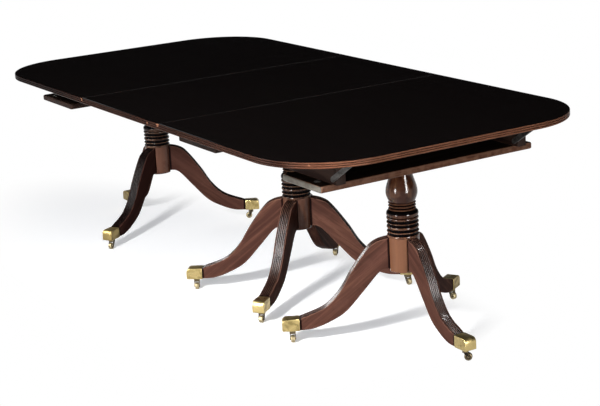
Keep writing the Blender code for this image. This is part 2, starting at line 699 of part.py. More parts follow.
def caster_wheel_mesh():
    """A wheel turned about its axle, which lies along Y, with a flat facet of its tread underneath."""
    bore = AXLE_RADIUS + GAP
    half = WHEEL_WIDTH / 2
    shoulder = WHEEL_RADIUS - WHEEL_ROUNDING
    profile = [
        (bore, half),
        (shoulder, half),
        (WHEEL_RADIUS, half - WHEEL_ROUNDING),
        (WHEEL_RADIUS, WHEEL_ROUNDING - half),
        (shoulder, -half),
        (bore, -half),
    ]
    mesh = bpy.data.meshes.new("wheel_profile")
    edges = [(index, (index + 1) % len(profile)) for index in range(len(profile))]
    mesh.from_pydata([(radius, 0.0, z) for radius, z in profile], edges, [])
    blank = add_cutter("wheel_blank", mesh, rotation=(math.pi / 2, math.pi / WHEEL_STEPS, 0))
    turning = blank.modifiers.new("turning", "SCREW")
    turning.steps = WHEEL_STEPS
    turning.render_steps = WHEEL_STEPS
    turning.use_merge_vertices = True
    turning.merge_threshold = 0.00001
    return baked(blank, "caster_wheel")


def build_pedestals():
    """Columns with their legs, toe caps and casters, each pedestal under an empty on its axis."""
    cap_mesh = toe_cap_mesh()
    fork_mesh = caster_fork_mesh()
    wheel_mesh = caster_wheel_mesh()
    leg_meshes = {}
    for pedestal in PEDESTALS:
        anchor = bpy.data.objects.new(f"pedestal_{pedestal.name}", None)
        anchor.location = (pedestal.column_x, 0, 0)
        TABLE.objects.link(anchor)
        build_column(pedestal, anchor)
        for leg, (degrees, reach) in pedestal.legs.items():
            foot = f"{pedestal.name}_{leg}"
            angle = math.radians(degrees)
            pivot = (reach * math.cos(angle), reach * math.sin(angle), 0)
            heading = math.radians(CASTER_HEADINGS[foot])
            if reach not in leg_meshes:
                leg_meshes[reach] = sabre_leg_mesh("sabre_leg", reach)
            add_part(f"leg_{foot}", leg_meshes[reach], MAHOGANY, (0, 0, 0), (0, 0, angle), anchor)
            add_part(f"toe_cap_{foot}", cap_mesh, BRASS, pivot, (0, 0, angle), anchor)
            fork = add_part(f"caster_fork_{foot}", fork_mesh, DARK_BRASS, pivot, (0, 0, heading), anchor)
            add_part(f"caster_wheel_{foot}", wheel_mesh, BRASS, (TRAIL, 0, AXLE_HEIGHT), parent=fork)


build_tops()
build_platforms_and_bearers()
build_straps()
build_pedestals()
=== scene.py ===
"""Looks of a triple pedestal dining table: reeded tops, turned columns, sabre legs, brass toe caps and casters.

Metres, +Z up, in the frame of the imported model. Every piece stands for a solid of that model and rides on its body,
apart from bolt heads and screws, which ride with the solid that they sit on.
"""

import json
import logging
import math
from collections.abc import Iterator
from contextlib import contextmanager
from dataclasses import dataclass
from enum import Enum
from typing import ClassVar

import bmesh
import bpy
from mathutils import Matrix, Vector

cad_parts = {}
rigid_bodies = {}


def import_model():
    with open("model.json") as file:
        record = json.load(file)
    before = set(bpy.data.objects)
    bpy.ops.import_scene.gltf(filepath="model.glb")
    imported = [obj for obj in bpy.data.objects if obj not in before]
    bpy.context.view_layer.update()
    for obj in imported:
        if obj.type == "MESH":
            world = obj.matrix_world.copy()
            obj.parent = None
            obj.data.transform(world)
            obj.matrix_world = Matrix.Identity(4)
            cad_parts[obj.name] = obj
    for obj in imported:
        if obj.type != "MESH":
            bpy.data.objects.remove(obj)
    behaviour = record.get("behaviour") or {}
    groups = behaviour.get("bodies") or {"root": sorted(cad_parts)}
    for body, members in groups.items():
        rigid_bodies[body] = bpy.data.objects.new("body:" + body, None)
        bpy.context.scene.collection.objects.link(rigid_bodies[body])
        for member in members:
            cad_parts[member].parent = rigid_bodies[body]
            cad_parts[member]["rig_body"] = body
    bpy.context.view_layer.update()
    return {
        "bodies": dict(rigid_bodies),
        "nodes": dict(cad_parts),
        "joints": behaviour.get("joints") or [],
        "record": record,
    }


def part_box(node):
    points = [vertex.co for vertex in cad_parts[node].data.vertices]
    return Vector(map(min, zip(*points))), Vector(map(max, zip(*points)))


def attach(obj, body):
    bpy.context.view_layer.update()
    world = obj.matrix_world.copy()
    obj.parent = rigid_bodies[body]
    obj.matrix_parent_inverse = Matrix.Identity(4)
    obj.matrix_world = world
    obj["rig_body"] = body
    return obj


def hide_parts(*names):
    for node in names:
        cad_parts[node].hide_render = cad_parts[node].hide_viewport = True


Point = tuple[float, float]
Triple = tuple[float, float, float]
Colour = Triple
# Where an ease starts and ends, and what it gives there when that isn't 0 and 1.
Ease = tuple[float, ...]
Sockets = bpy.types.bpy_prop_collection

LOG = logging.getLogger("dining_table")
# Gap between pieces that would share a face.
CLEARANCE = 0.0003
MERGE_DISTANCE = 0.00001
SMOOTH_ANGLE = math.radians(40)
# Where a rounded slab's flat face begins, in radii of its edge.
FACE_INSET = 1.7
PATH_STEPS = 24
CIRCLE_POINTS = 24
TINY = 1e-9
STRAIGHT = 1e-12
# Stands a shape that was drawn in X and Y up in X and Z.
UPRIGHT = Matrix.Rotation(math.radians(90), 4, "X")
# How far apart in the plank the copies of one piece are cut.
COPY_GRAIN_STEP = Vector((0.83, 0.37, 0.59))

COLUMN_X = {"left": -0.915, "middle": 0.235, "right": 0.915}
MIDDLE_SPLAY = 52.3
LEG_DEGREES = {
    "left": {"outer": 180, "near": -60, "far": 60},
    "middle": {
        "near_left": MIDDLE_SPLAY - 180,
        "near_right": -MIDDLE_SPLAY,
        "far_left": 180 - MIDDLE_SPLAY,
        "far_right": MIDDLE_SPLAY,
    },
    "right": {"outer": 0, "near": -120, "far": 120},
}
# From a column's axis to a caster's.
OUTER_REACH = 0.320
SIDE_REACH = 0.390
MIDDLE_REACH = 0.400
CASTER_HEADINGS = {
    "left_outer": -90,
    "left_near": -55,
    "left_far": -110,
    "middle_near_left": -31,
    "middle_near_right": -48,
    "middle_far_left": -45,
    "middle_far_right": -5,
    "right_outer": 45,
    "right_near": -31,
    "right_far": 5,
}

COLOUR_SOCKET = "NodeSocketColor"
VALUE_SOCKET = "NodeSocketFloat"
VECTOR_SOCKET = "NodeSocketVector"
NUMBER_RESULTS = ("LENGTH", "DISTANCE", "DOT_PRODUCT")
# The range that a noise's values mostly fill.
NOISE_RANGE = (0.3, 0.7)
# How strongly the stain_and_painted_light attribute mixes in: real staining, painted shade and painted light.
STAIN_AND_PAINTED_LIGHT_STRENGTH = 0.92
WORN_ROUGHNESS = 0.12
WOOD_BUMP = 0.0004
METAL_BUMP = 0.0003
SCUFF_RAGGEDNESS = 0.010
SCUFF_CORE = 0.4
SCUFF_STRENGTH = 0.8


class Slot(Enum):
    """The record's material slots."""

    POLISHED_MAHOGANY = "polished_mahogany"
    MAHOGANY = "mahogany"
    PLAIN_WOOD = "plain_wood"
    BRASS = "brass"
    DARK_BRASS = "dark_brass"
    STEEL = "steel"


class GrainRun(Enum):
    """Which way the wood of a piece runs, as the turn that brings it along X."""

    ALONG_TABLE = Matrix.Identity(3)
    ACROSS_TABLE = Matrix.Rotation(math.radians(-90), 3, "Z")
    UPRIGHT = Matrix.Rotation(math.radians(90), 3, "Y")
    DOWN_THE_LEG = Matrix.Rotation(math.radians(-38), 3, "Y")


@dataclass(frozen=True)
class Noise:
    """How much finer a noise is along each axis, its octaves and its distortion."""

    stretch: Triple
    detail: float = 3.0
    twist: float = 0.0


class NodePlan:
    """A node tree that is being laid out."""

    def __init__(self, tree: bpy.types.NodeTree) -> None:
        """Take the tree to add nodes to."""
        self.tree = tree

    def add(self, kind: str, inputs: dict | None = None, **settings: object) -> bpy.types.Node:
        """One node with its settings and inputs.

        Args:
            kind: Blender's name of the node type.
            inputs: sockets by name or number, each with a value or the socket that feeds it.
            settings: properties of the node.

        Returns:
            The new node.
        """
        node = self.tree.nodes.new(kind)
        for name, value in settings.items():
            setattr(node, name, value)
        self.fill(node.inputs, inputs or {})
        return node

    def fill(self, sockets: Sockets, values: dict) -> None:
        """Give inputs their values, or link what feeds them.

        Args:
            sockets: the inputs of a node.
            values: inputs by name or number, each with a value or the socket that feeds it.
        """
        for key, value in values.items():
            if isinstance(value, bpy.types.NodeSocket):
                self.tree.links.new(value, sockets[key])
            else:
                sockets[key].default_value = value

    def noise(self, place: bpy.types.NodeSocket, kind: Noise) -> bpy.types.NodeSocket:
        """Noise over stretched coordinates.

        Args:
            place: the coordinates.
            kind: the noise's sizes.

        Returns:
            The noise's value socket.
        """
        scaled = self.vector_maths("MULTIPLY", place, kind.stretch)
        inputs = {"Vector": scaled, "Scale": 1.0, "Detail": kind.detail, "Distortion": kind.twist}
        return self.add("ShaderNodeTexNoise", inputs).outputs[0]

    def between(
        self, value: bpy.types.NodeSocket, low: float, high: float, to_low: float = 0.0, to_high: float = 1.0
    ) -> bpy.types.NodeSocket:
        """A value eased from one range to another.

        Args:
            value: the socket to read.
            low: where the ease starts.
            high: where it ends.
            to_low: what it gives at the start.
            to_high: what it gives at the end.

        Returns:
            The eased value's socket.
        """
        inputs = {"Value": value, 1: low, 2: high, 3: to_low, 4: to_high}
        return self.add("ShaderNodeMapRange", inputs, interpolation_type="SMOOTHSTEP").outputs[0]

    def maths(self, operation: str, first: object, second: object, clamp: bool = False) -> bpy.types.NodeSocket:
        """Two values put together by a Math node.

        Args:
            operation: the node's operation.
            first: value or socket.
            second: value or socket.
            clamp: whether the result stays from 0 to 1.

        Returns:
            The result's socket.
        """
        inputs = {0: first, 1: second}
        return self.add("ShaderNodeMath", inputs, operation=operation, use_clamp=clamp).outputs[0]

    def vector_maths(self, operation: str, *inputs: object) -> bpy.types.NodeSocket:
        """Vectors put together by a Vector Math node.

        Args:
            operation: the node's operation.
            inputs: vectors or sockets.

        Returns:
            The result's socket.
        """
        node = self.add("ShaderNodeVectorMath", dict(enumerate(inputs)), operation=operation)
        return node.outputs["Value" if operation in NUMBER_RESULTS else "Vector"]

    def mixed(self, share: object, first: object, second: object) -> bpy.types.NodeSocket:
        """Two colours mixed.

        Args:
            share: how much of the second colour, value or socket.
            first: colour or socket.
            second: colour or socket.

        Returns:
            The mixed colour's socket.
        """
        return self.add("ShaderNodeMix", {0: share, 6: first, 7: second}, data_type="RGBA").outputs[2]


def node_group(name: str, inputs: dict[str, str], outputs: dict[str, str]) -> tuple[NodePlan, Sockets, Sockets]:
    """An empty shader node group with named sockets.

    Args:
        name: the group's name.
        inputs: socket names and types.
        outputs: socket names and types.

    Returns:
        The plan of the group, what it is given and what it has to give.
    """
    tree = bpy.data.node_groups.new(name, "ShaderNodeTree")
    for socket, kind in inputs.items():
        tree.interface.new_socket(socket, in_out="INPUT", socket_type=kind)
    for socket, kind in outputs.items():
        tree.interface.new_socket(socket, in_out="OUTPUT", socket_type=kind)
    plan = NodePlan(tree)
    return plan, plan.add("NodeGroupInput").outputs, plan.add("NodeGroupOutput").inputs


@dataclass(frozen=True)
class WoodGrain:
    """The figure, fibres and pores of mahogany, over coordinates whose X runs with the grain."""

    figure: Noise = Noise((1.6, 13.0, 13.0), 4.0, 0.7)
    ribbon: Noise = Noise((4.0, 70.0, 70.0), 3.0, 0.4)
    fibre: Noise = Noise((14.0, 420.0, 420.0), 2.0)
    pore: Noise = Noise((45.0, 1300.0, 1300.0), 1.0)
    figure_ease: Ease = (0.30, 0.68)
    ribbon_ease: Ease = (0.42, 0.78, 0.0, 0.75)
    fibre_ease: Ease = (0.35, 0.75, 0.0, 0.35)
    pore_ease: Ease = (0.60, 0.72)
    pore_darkness: float = 0.6
    fibre_height: float = 0.5

    def group(self) -> bpy.types.NodeTree:
        """The effect as a node group.

        Returns:
            The group.
        """
        plan, given, result = node_group(
            "wood_grain",
            {"Grain": VECTOR_SOCKET, "Dark": COLOUR_SOCKET, "Middle": COLOUR_SOCKET, "Light": COLOUR_SOCKET},
            {"Color": COLOUR_SOCKET, "Height": VALUE_SOCKET, "Gloss": VALUE_SOCKET},
        )
        figure = plan.noise(given["Grain"], self.figure)
        ribbon = plan.noise(given["Grain"], self.ribbon)
        fibre = plan.noise(given["Grain"], self.fibre)
        pores = plan.between(plan.noise(given["Grain"], self.pore), *self.pore_ease)
        colour = plan.mixed(plan.between(figure, *self.figure_ease), given["Dark"], given["Middle"])
        colour = plan.mixed(plan.between(ribbon, *self.ribbon_ease), colour, given["Light"])
        colour = plan.mixed(plan.between(fibre, *self.fibre_ease), colour, given["Dark"])
        colour = plan.mixed(plan.maths("MULTIPLY", pores, self.pore_darkness), colour, given["Dark"])
        height = plan.maths("SUBTRACT", plan.maths("MULTIPLY", fibre, self.fibre_height), pores)
        plan.fill(result, {"Color": colour, "Height": height, "Gloss": figure})
        return plan.tree


@dataclass(frozen=True)
class EdgeWear:
    """Polish rubbed off the arrises, and darker hollows: wax and dirt there, deepened as painted shade."""

    patch: Noise = Noise((22.0, 22.0, 22.0))
    patch_ease: Ease = (0.35, 0.65, -0.30, 0.30)
    rub_ease: Ease = (0.15, 0.80)
    # Darkens the hollows: dirt, deepened into painted shade in the deep grooves.
    dirt_ease: Ease = (-0.03, -0.35, 0.0, 0.95)

    def group(self) -> bpy.types.NodeTree:
        """The effect as a node group.

        Returns:
            The group.
        """
        plan, given, result = node_group(
            "edge_wear",
            {
                "Color": COLOUR_SOCKET,
                "Crest": VALUE_SOCKET,
                "Place": VECTOR_SOCKET,
                "Worn": COLOUR_SOCKET,
                "GrimeAndShade": COLOUR_SOCKET,
                "Wear": VALUE_SOCKET,
            },
            {"Color": COLOUR_SOCKET, "Mask": VALUE_SOCKET},
        )
        patches = plan.between(plan.noise(given["Place"], self.patch), *self.patch_ease)
        rubbed = plan.between(plan.maths("ADD", given["Crest"], patches), *self.rub_ease)
        rubbed = plan.maths("MULTIPLY", rubbed, given["Wear"], clamp=True)
        colour = plan.mixed(rubbed, given["Color"], given["Worn"])
        colour = plan.mixed(plan.between(given["Crest"], *self.dirt_ease), colour, given["GrimeAndShade"])
        plan.fill(result, {"Color": colour, "Mask": rubbed})
        return plan.tree


@dataclass(frozen=True)
class Tarnish:
    """Cast metal that has dulled in clouds, with bright rubbed edges, fine scratches and dirt in the corners."""

    cloud: Noise = Noise((38.0, 38.0, 38.0), 5.0, 0.5)
    speck: Noise = Noise((420.0, 420.0, 420.0), 2.0)
    scratch: Noise = Noise((160.0, 160.0, 2400.0), 2.0)
    cloud_ease: Ease = (0.36, 0.66)
    speck_ease: Ease = (0.62, 0.76, 0.0, 0.7)
    rub_ease: Ease = (0.1, 0.7, 0.0, 0.8)
    dirt_ease: Ease = (-0.05, -0.6, 0.0, 0.9)
    cloud_height: float = 1.2
    scratch_height: float = 0.3

    def group(self) -> bpy.types.NodeTree:
        """The effect as a node group.

        Returns:
            The group.
        """
        plan, given, result = node_group(
            "tarnish",
            {
                "Place": VECTOR_SOCKET,
                "Crest": VALUE_SOCKET,
                "Bright": COLOUR_SOCKET,
                "Dull": COLOUR_SOCKET,
                "Dirt": COLOUR_SOCKET,
            },
            {"Color": COLOUR_SOCKET, "Rough": VALUE_SOCKET, "Height": VALUE_SOCKET},
        )
        clouds = plan.noise(given["Place"], self.cloud)
        specks = plan.noise(given["Place"], self.speck)
        scratches = plan.maths("MULTIPLY", plan.noise(given["Place"], self.scratch), self.scratch_height)
        colour = plan.mixed(plan.between(clouds, *self.cloud_ease), given["Bright"], given["Dull"])
        colour = plan.mixed(plan.between(specks, *self.speck_ease), colour, given["Dirt"])
        colour = plan.mixed(plan.between(given["Crest"], *self.rub_ease), colour, given["Bright"])
        colour = plan.mixed(plan.between(given["Crest"], *self.dirt_ease), colour, given["Dirt"])
        height = plan.maths("ADD", plan.maths("MULTIPLY", clouds, self.cloud_height), scratches)
        plan.fill(result, {"Color": colour, "Rough": clouds, "Height": height})
        return plan.tree


class Effects:
    """The node groups that the finishes share, each made once."""

    def __init__(self) -> None:
        """Make the groups."""
        self.wood_grain = WoodGrain().group()
        self.edge_wear = EdgeWear().group()
        self.tarnish = Tarnish().group()


SCUFF_NOISE = Noise((160.0, 160.0, 160.0))


@dataclass(frozen=True)
class WoodFinish:
    """A polished or plain mahogany: its colours, gloss and wear."""

    name: str
    dark: Colour
    middle: Colour
    light: Colour
    worn: Colour
    # Colour of the hollows: dirt, deepened as painted shade.
    grime_and_shade: Colour
    # Colour that the stain_and_painted_light attribute mixes in: staining on some pieces, painted shade and painted
    # light on others.
    stain_and_painted_light: Colour
    gloss: tuple[float, float] = (0.20, 0.34)
    wear: float = 0.7
    relief: float = 0.12
    specular: float = 0.22
    # How far staining and painted shade hide the edge wear.
    stain_and_painted_light_cover: float = 1.0
    scuffs: tuple[tuple[float, float, float, float], ...] = ()

    def material(self, effects: Effects) -> bpy.types.Material:
        """The finish as a node material that reads a piece's grain, crest, and its staining and painted light.

        Args:
            effects: the shared node groups.

        Returns:
            The material.
        """
        made = bpy.data.materials.new(self.name)
        made.use_nodes = True
        plan = NodePlan(made.node_tree)
        shader = made.node_tree.nodes["Principled BSDF"]
        grain = plan.add("ShaderNodeAttribute", attribute_name="grain").outputs["Vector"]
        crest = plan.add("ShaderNodeAttribute", attribute_name="crest").outputs["Fac"]
        stain_and_light = plan.add("ShaderNodeAttribute", attribute_name="stain_and_painted_light").outputs["Fac"]
        woods = {"Dark": (*self.dark, 1), "Middle": (*self.middle, 1), "Light": (*self.light, 1)}
        wood = plan.add("ShaderNodeGroup", {"Grain": grain, **woods}, node_tree=effects.wood_grain)
        # Mixes in the piece's staining, painted shade and painted light.
        stain_and_light_share = plan.maths("MULTIPLY", stain_and_light, STAIN_AND_PAINTED_LIGHT_STRENGTH)
        colour = plan.mixed(stain_and_light_share, wood.outputs["Color"], (*self.stain_and_painted_light, 1))
        if self.scuffs:
            colour = plan.mixed(self.scuff_mask(plan), colour, (*self.worn, 1))
        covered = plan.maths("MULTIPLY", stain_and_light, self.stain_and_painted_light_cover)
        kept = plan.maths("SUBTRACT", 1.0, covered, clamp=True)
        edge_inputs = {
            "Color": colour,
            "Crest": crest,
            "Place": grain,
            "Worn": (*self.worn, 1),
            "GrimeAndShade": (*self.grime_and_shade, 1),
            "Wear": plan.maths("MULTIPLY", kept, self.wear),
        }
        edges = plan.add("ShaderNodeGroup", edge_inputs, node_tree=effects.edge_wear)
        rough = plan.between(wood.outputs["Gloss"], *NOISE_RANGE, *self.gloss)
        rough = plan.maths("ADD", rough, plan.maths("MULTIPLY", edges.outputs["Mask"], WORN_ROUGHNESS))
        relief = {"Strength": self.relief, "Distance": WOOD_BUMP, "Height": wood.outputs["Height"]}
        bump = plan.add("ShaderNodeBump", relief)
        plan.fill(
            shader.inputs,
            {
                "Base Color": edges.outputs["Color"],
                "Roughness": rough,
                "Normal": bump.outputs[0],
                "Specular IOR Level": self.specular,
            },
        )
        return made

    def scuff_mask(self, plan: NodePlan) -> bpy.types.NodeSocket:
        """A mask of the spots where the polish is knocked off.

        Args:
            plan: the material's node tree.

        Returns:
            The mask's socket.
        """
        place = plan.add("ShaderNodeTexCoord").outputs["Object"]
        ragged = plan.maths("MULTIPLY", plan.noise(place, SCUFF_NOISE), SCUFF_RAGGEDNESS)
        total = 0.0
        for *spot, radius in self.scuffs:
            away = plan.vector_maths("DISTANCE", place, spot)
            away = plan.maths("ADD", away, plan.maths("SUBTRACT", ragged, SCUFF_RAGGEDNESS / 2))
            scuff = plan.between(away, radius, radius * SCUFF_CORE, 0.0, SCUFF_STRENGTH)
            total = plan.maths("ADD", scuff, total, clamp=True)
        return total


@dataclass(frozen=True)
class MetalFinish:
    """A cast or forged metal: its colours and how rough it is."""

    name: str
    bright: Colour
    dull: Colour
    dirt: Colour
    rough: tuple[float, float]
    relief: float = 0.15

    def material(self, effects: Effects) -> bpy.types.Material:
        """The finish as a node material.

        Args:
            effects: the shared node groups.

        Returns:
            The material.
        """
        made = bpy.data.materials.new(self.name)
        made.use_nodes = True
        plan = NodePlan(made.node_tree)
        shader = made.node_tree.nodes["Principled BSDF"]
        place = plan.add("ShaderNodeTexCoord").outputs["Object"]
        crest = plan.add("ShaderNodeAttribute", attribute_name="crest").outputs["Fac"]
        metals = {"Bright": (*self.bright, 1), "Dull": (*self.dull, 1), "Dirt": (*self.dirt, 1)}
        inputs = {"Place": place, "Crest": crest, **metals}
        metal = plan.add("ShaderNodeGroup", inputs, node_tree=effects.tarnish)
        relief = {"Strength": self.relief, "Distance": METAL_BUMP, "Height": metal.outputs["Height"]}
        bump = plan.add("ShaderNodeBump", relief)
        plan.fill(
            shader.inputs,
            {
                "Base Color": metal.outputs["Color"],
                "Roughness": plan.between(metal.outputs["Rough"], *NOISE_RANGE, *self.rough),
                "Normal": bump.outputs[0],
                "Metallic": 1.0,
            },
        )
        return made


Finish = WoodFinish | MetalFinish

TOP_POLISH = WoodFinish(
    "french_polished_top",
    dark=(0.0048, 0.0041, 0.0037),
    middle=(0.0078, 0.0064, 0.0056),
    light=(0.0155, 0.0094, 0.0076),
    worn=(0.038, 0.024, 0.020),
    grime_and_shade=(0.003, 0.0025, 0.0022),
    stain_and_painted_light=(0.004, 0.003, 0.003),
    gloss=(0.05, 0.06),
    wear=0.3,
    relief=0.02,
    specular=0.003,
)
REEDED_EDGE = WoodFinish(
    "reeded_edge",
    dark=(0.075, 0.022, 0.012),
    middle=(0.150, 0.048, 0.026),
    light=(0.210, 0.076, 0.042),
    worn=(0.280, 0.125, 0.072),
    grime_and_shade=(0.006, 0.003, 0.003),
    # Painted shade: the near-black colour laid on the long sides of the edge.
    stain_and_painted_light=(0.0045, 0.0022, 0.0018),
    gloss=(0.18, 0.28),
    wear=0.55,
    specular=0.02,
    stain_and_painted_light_cover=0.985,
    scuffs=(
        (-0.300, -0.595, 0.738, 0.011),
        (0.330, -0.595, 0.738, 0.012),
        (0.25, -0.595, 0.730, 0.008),
        (1.173, -0.514, 0.732, 0.005),
    ),
)
LEG_MAHOGANY = WoodFinish(
    "leg_mahogany",
    dark=(0.052, 0.022, 0.017),
    middle=(0.108, 0.047, 0.034),
    light=(0.165, 0.075, 0.049),
    worn=(0.250, 0.125, 0.085),
    grime_and_shade=(0.006, 0.003, 0.003),
    # Painted shade: the near-black colour laid on lower arrises, beside the reeds and over whole shaded legs.
    stain_and_painted_light=(0.022, 0.008, 0.007),
    gloss=(0.30, 0.42),
    wear=0.35,
    specular=0.004,
)
# Painted shade: a darker copy of the leg mahogany for the reeded upper faces; its high specular gives them real
# shine.
SHADED_LEG_REEDING = WoodFinish(
    "leg_reeding",
    dark=(0.030, 0.011, 0.008),
    middle=(0.062, 0.024, 0.016),
    light=(0.098, 0.039, 0.025),
    worn=(0.300, 0.160, 0.110),
    grime_and_shade=(0.004, 0.002, 0.002),
    stain_and_painted_light=(0.012, 0.006, 0.005),
    gloss=(0.21, 0.27),
    wear=0.3,
    specular=0.58,
)
# Painted shade: a still darker reeding for the left pedestal's legs.
SHADED_LEFT_REEDING = WoodFinish(
    "dark_leg_reeding",
    dark=(0.010, 0.005, 0.004),
    middle=(0.022, 0.010, 0.008),
    light=(0.040, 0.018, 0.013),
    worn=(0.120, 0.070, 0.050),
    grime_and_shade=(0.003, 0.002, 0.002),
    stain_and_painted_light=(0.006, 0.004, 0.004),
    gloss=(0.18, 0.26),
    wear=0.3,
    specular=0.12,
)
COLUMN_MAHOGANY = WoodFinish(
    "turned_mahogany",
    dark=(0.028, 0.008, 0.005),
    middle=(0.078, 0.026, 0.013),
    light=(0.165, 0.065, 0.026),
    worn=(0.330, 0.170, 0.100),
    grime_and_shade=(0.004, 0.002, 0.002),
    # Pale wood of the block, partly painted light.
    stain_and_painted_light=(0.178, 0.075, 0.038),
    gloss=(0.06, 0.09),
    wear=0.25,
    specular=0.20,
)
# Painted shade: a darker copy of the turned mahogany for the left and middle columns.
SHADED_COLUMN = WoodFinish(
    "shaded_turned_mahogany",
    dark=(0.012, 0.005, 0.004),
    middle=(0.034, 0.013, 0.009),
    light=(0.066, 0.027, 0.017),
    worn=(0.300, 0.160, 0.095),
    grime_and_shade=(0.003, 0.002, 0.002),
    stain_and_painted_light=(0.150, 0.052, 0.032),
    gloss=(0.07, 0.10),
    wear=0.3,
    specular=0.18,
)
# Painted shade: near-black finish for the grooves, ring hollows and the torus's upper side.
GROOVE_SHADE = WoodFinish(
    "painted_groove_shade",
    dark=(0.003, 0.002, 0.002),
    middle=(0.005, 0.003, 0.003),
    light=(0.009, 0.005, 0.004),
    worn=(0.020, 0.010, 0.008),
    grime_and_shade=(0.003, 0.002, 0.002),
    stain_and_painted_light=(0.004, 0.003, 0.003),
    gloss=(0.20, 0.30),
    wear=0.1,
    specular=0.02,
)
BEARER_WOOD = WoodFinish(
    "dark_bearer",
    dark=(0.008, 0.004, 0.003),
    middle=(0.018, 0.008, 0.006),
    light=(0.036, 0.017, 0.011),
    worn=(0.050, 0.028, 0.020),
    grime_and_shade=(0.006, 0.004, 0.003),
    stain_and_painted_light=(0.010, 0.006, 0.005),
    gloss=(0.40, 0.60),
    wear=0.4,
    specular=0.05,
)
BOARD_MAHOGANY = WoodFinish(
    "platform_board",
    dark=(0.050, 0.020, 0.012),
    middle=(0.120, 0.046, 0.026),
    light=(0.185, 0.078, 0.044),
    worn=(0.300, 0.160, 0.100),
    grime_and_shade=(0.012, 0.006, 0.005),
    stain_and_painted_light=(0.012, 0.007, 0.006),
    gloss=(0.28, 0.42),
    wear=0.4,
    specular=0.04,
)
# Painted reflection: a pale grey band for the right board's near edge.
BOARD_EDGE_SHEEN = WoodFinish(
    "painted_board_edge_sheen",
    dark=(0.037, 0.030, 0.024),
    middle=(0.082, 0.070, 0.056),
    light=(0.112, 0.099, 0.082),
    worn=(0.156, 0.143, 0.122),
    grime_and_shade=(0.020, 0.014, 0.012),
    stain_and_painted_light=(0.060, 0.034, 0.028),
    gloss=(0.40, 0.60),
    wear=0.6,
    specular=0.15,
)
UNDERSIDE_WOOD = WoodFinish(
    "unpolished_underside",
    dark=(0.010, 0.007, 0.006),
    middle=(0.020, 0.013, 0.010),
    light=(0.034, 0.021, 0.015),
    worn=(0.050, 0.030, 0.020),
    grime_and_shade=(0.004, 0.003, 0.003),
    stain_and_painted_light=(0.005, 0.003, 0.003),
    gloss=(0.60, 0.80),
    wear=0.3,
    relief=0.35,
    specular=0.0,
)
CAP_BRASS = MetalFinish(
    "toe_cap_brass",
    bright=(0.44, 0.34, 0.148),
    dull=(0.21, 0.157, 0.062),
    dirt=(0.08, 0.058, 0.028),
    rough=(0.26, 0.46),
)
HORN_BRASS = MetalFinish(
    "caster_horn_brass",
    bright=(0.11, 0.085, 0.05),
    dull=(0.034, 0.027, 0.019),
    dirt=(0.012, 0.010, 0.008),
    rough=(0.32, 0.5),
)
ROLLER_BRASS = MetalFinish(
    "caster_roller_brass",
    bright=(0.30, 0.25, 0.15),
    dull=(0.17, 0.135, 0.07),
    dirt=(0.05, 0.04, 0.025),
    rough=(0.40, 0.55),
)
# Dulled brass: tarnish, darkened further as painted shade.
DULL_AND_SHADED_CAP_BRASS = MetalFinish(
    "toe_cap_dull_and_shaded_brass",
    bright=(0.25, 0.185, 0.072),
    dull=(0.12, 0.088, 0.038),
    dirt=(0.045, 0.034, 0.020),
    rough=(0.36, 0.55),
)
STRAP_STEEL = MetalFinish(
    "strap_steel",
    bright=(0.09, 0.085, 0.08),
    dull=(0.028, 0.026, 0.025),
    dirt=(0.012, 0.010, 0.009),
    rough=(0.36, 0.55),
    relief=0.3,
)
FINISHES = (
    TOP_POLISH,
    REEDED_EDGE,
    LEG_MAHOGANY,
    SHADED_LEG_REEDING,
    SHADED_LEFT_REEDING,
    COLUMN_MAHOGANY,
    SHADED_COLUMN,
    GROOVE_SHADE,
    BOARD_MAHOGANY,
    BOARD_EDGE_SHEEN,
    BEARER_WOOD,
    UNDERSIDE_WOOD,
    CAP_BRASS,
    DULL_AND_SHADED_CAP_BRASS,
    HORN_BRASS,
    ROLLER_BRASS,
    STRAP_STEEL,
)


@contextmanager
def editing(piece: bpy.types.Object) -> Iterator[bmesh.types.BMesh]:
    """Edit mode on one piece alone.

    Args:
        piece: the mesh object.

    Yields:
        Its edit mesh.
    """
    make_active(piece)
    bpy.ops.object.mode_set(mode="EDIT")
    bpy.ops.mesh.select_mode(type="VERT")
    yield bmesh.from_edit_mesh(piece.data)
    bmesh.update_edit_mesh(piece.data)
    bpy.ops.object.mode_set(mode="OBJECT")


def make_active(piece: bpy.types.Object) -> None:
    """Select one object alone.

    Args:
        piece: the object.
    """
    bpy.ops.object.select_all(action="DESELECT")
    piece.select_set(True)
    bpy.context.view_layer.objects.active = piece


def new_circle(name: str, count: int, fill: str) -> bpy.types.Object:
    """A circle of points to start a piece from.

    Args:
        name: the piece's name.
        count: number of points.
        fill: how Blender fills it.

    Returns:
        The new object.
    """
    bpy.ops.object.select_all(action="DESELECT")
    bpy.ops.mesh.primitive_circle_add(vertices=count, fill_type=fill)
    piece = bpy.context.object
    piece.name = name
    piece.data.name = name
    return piece


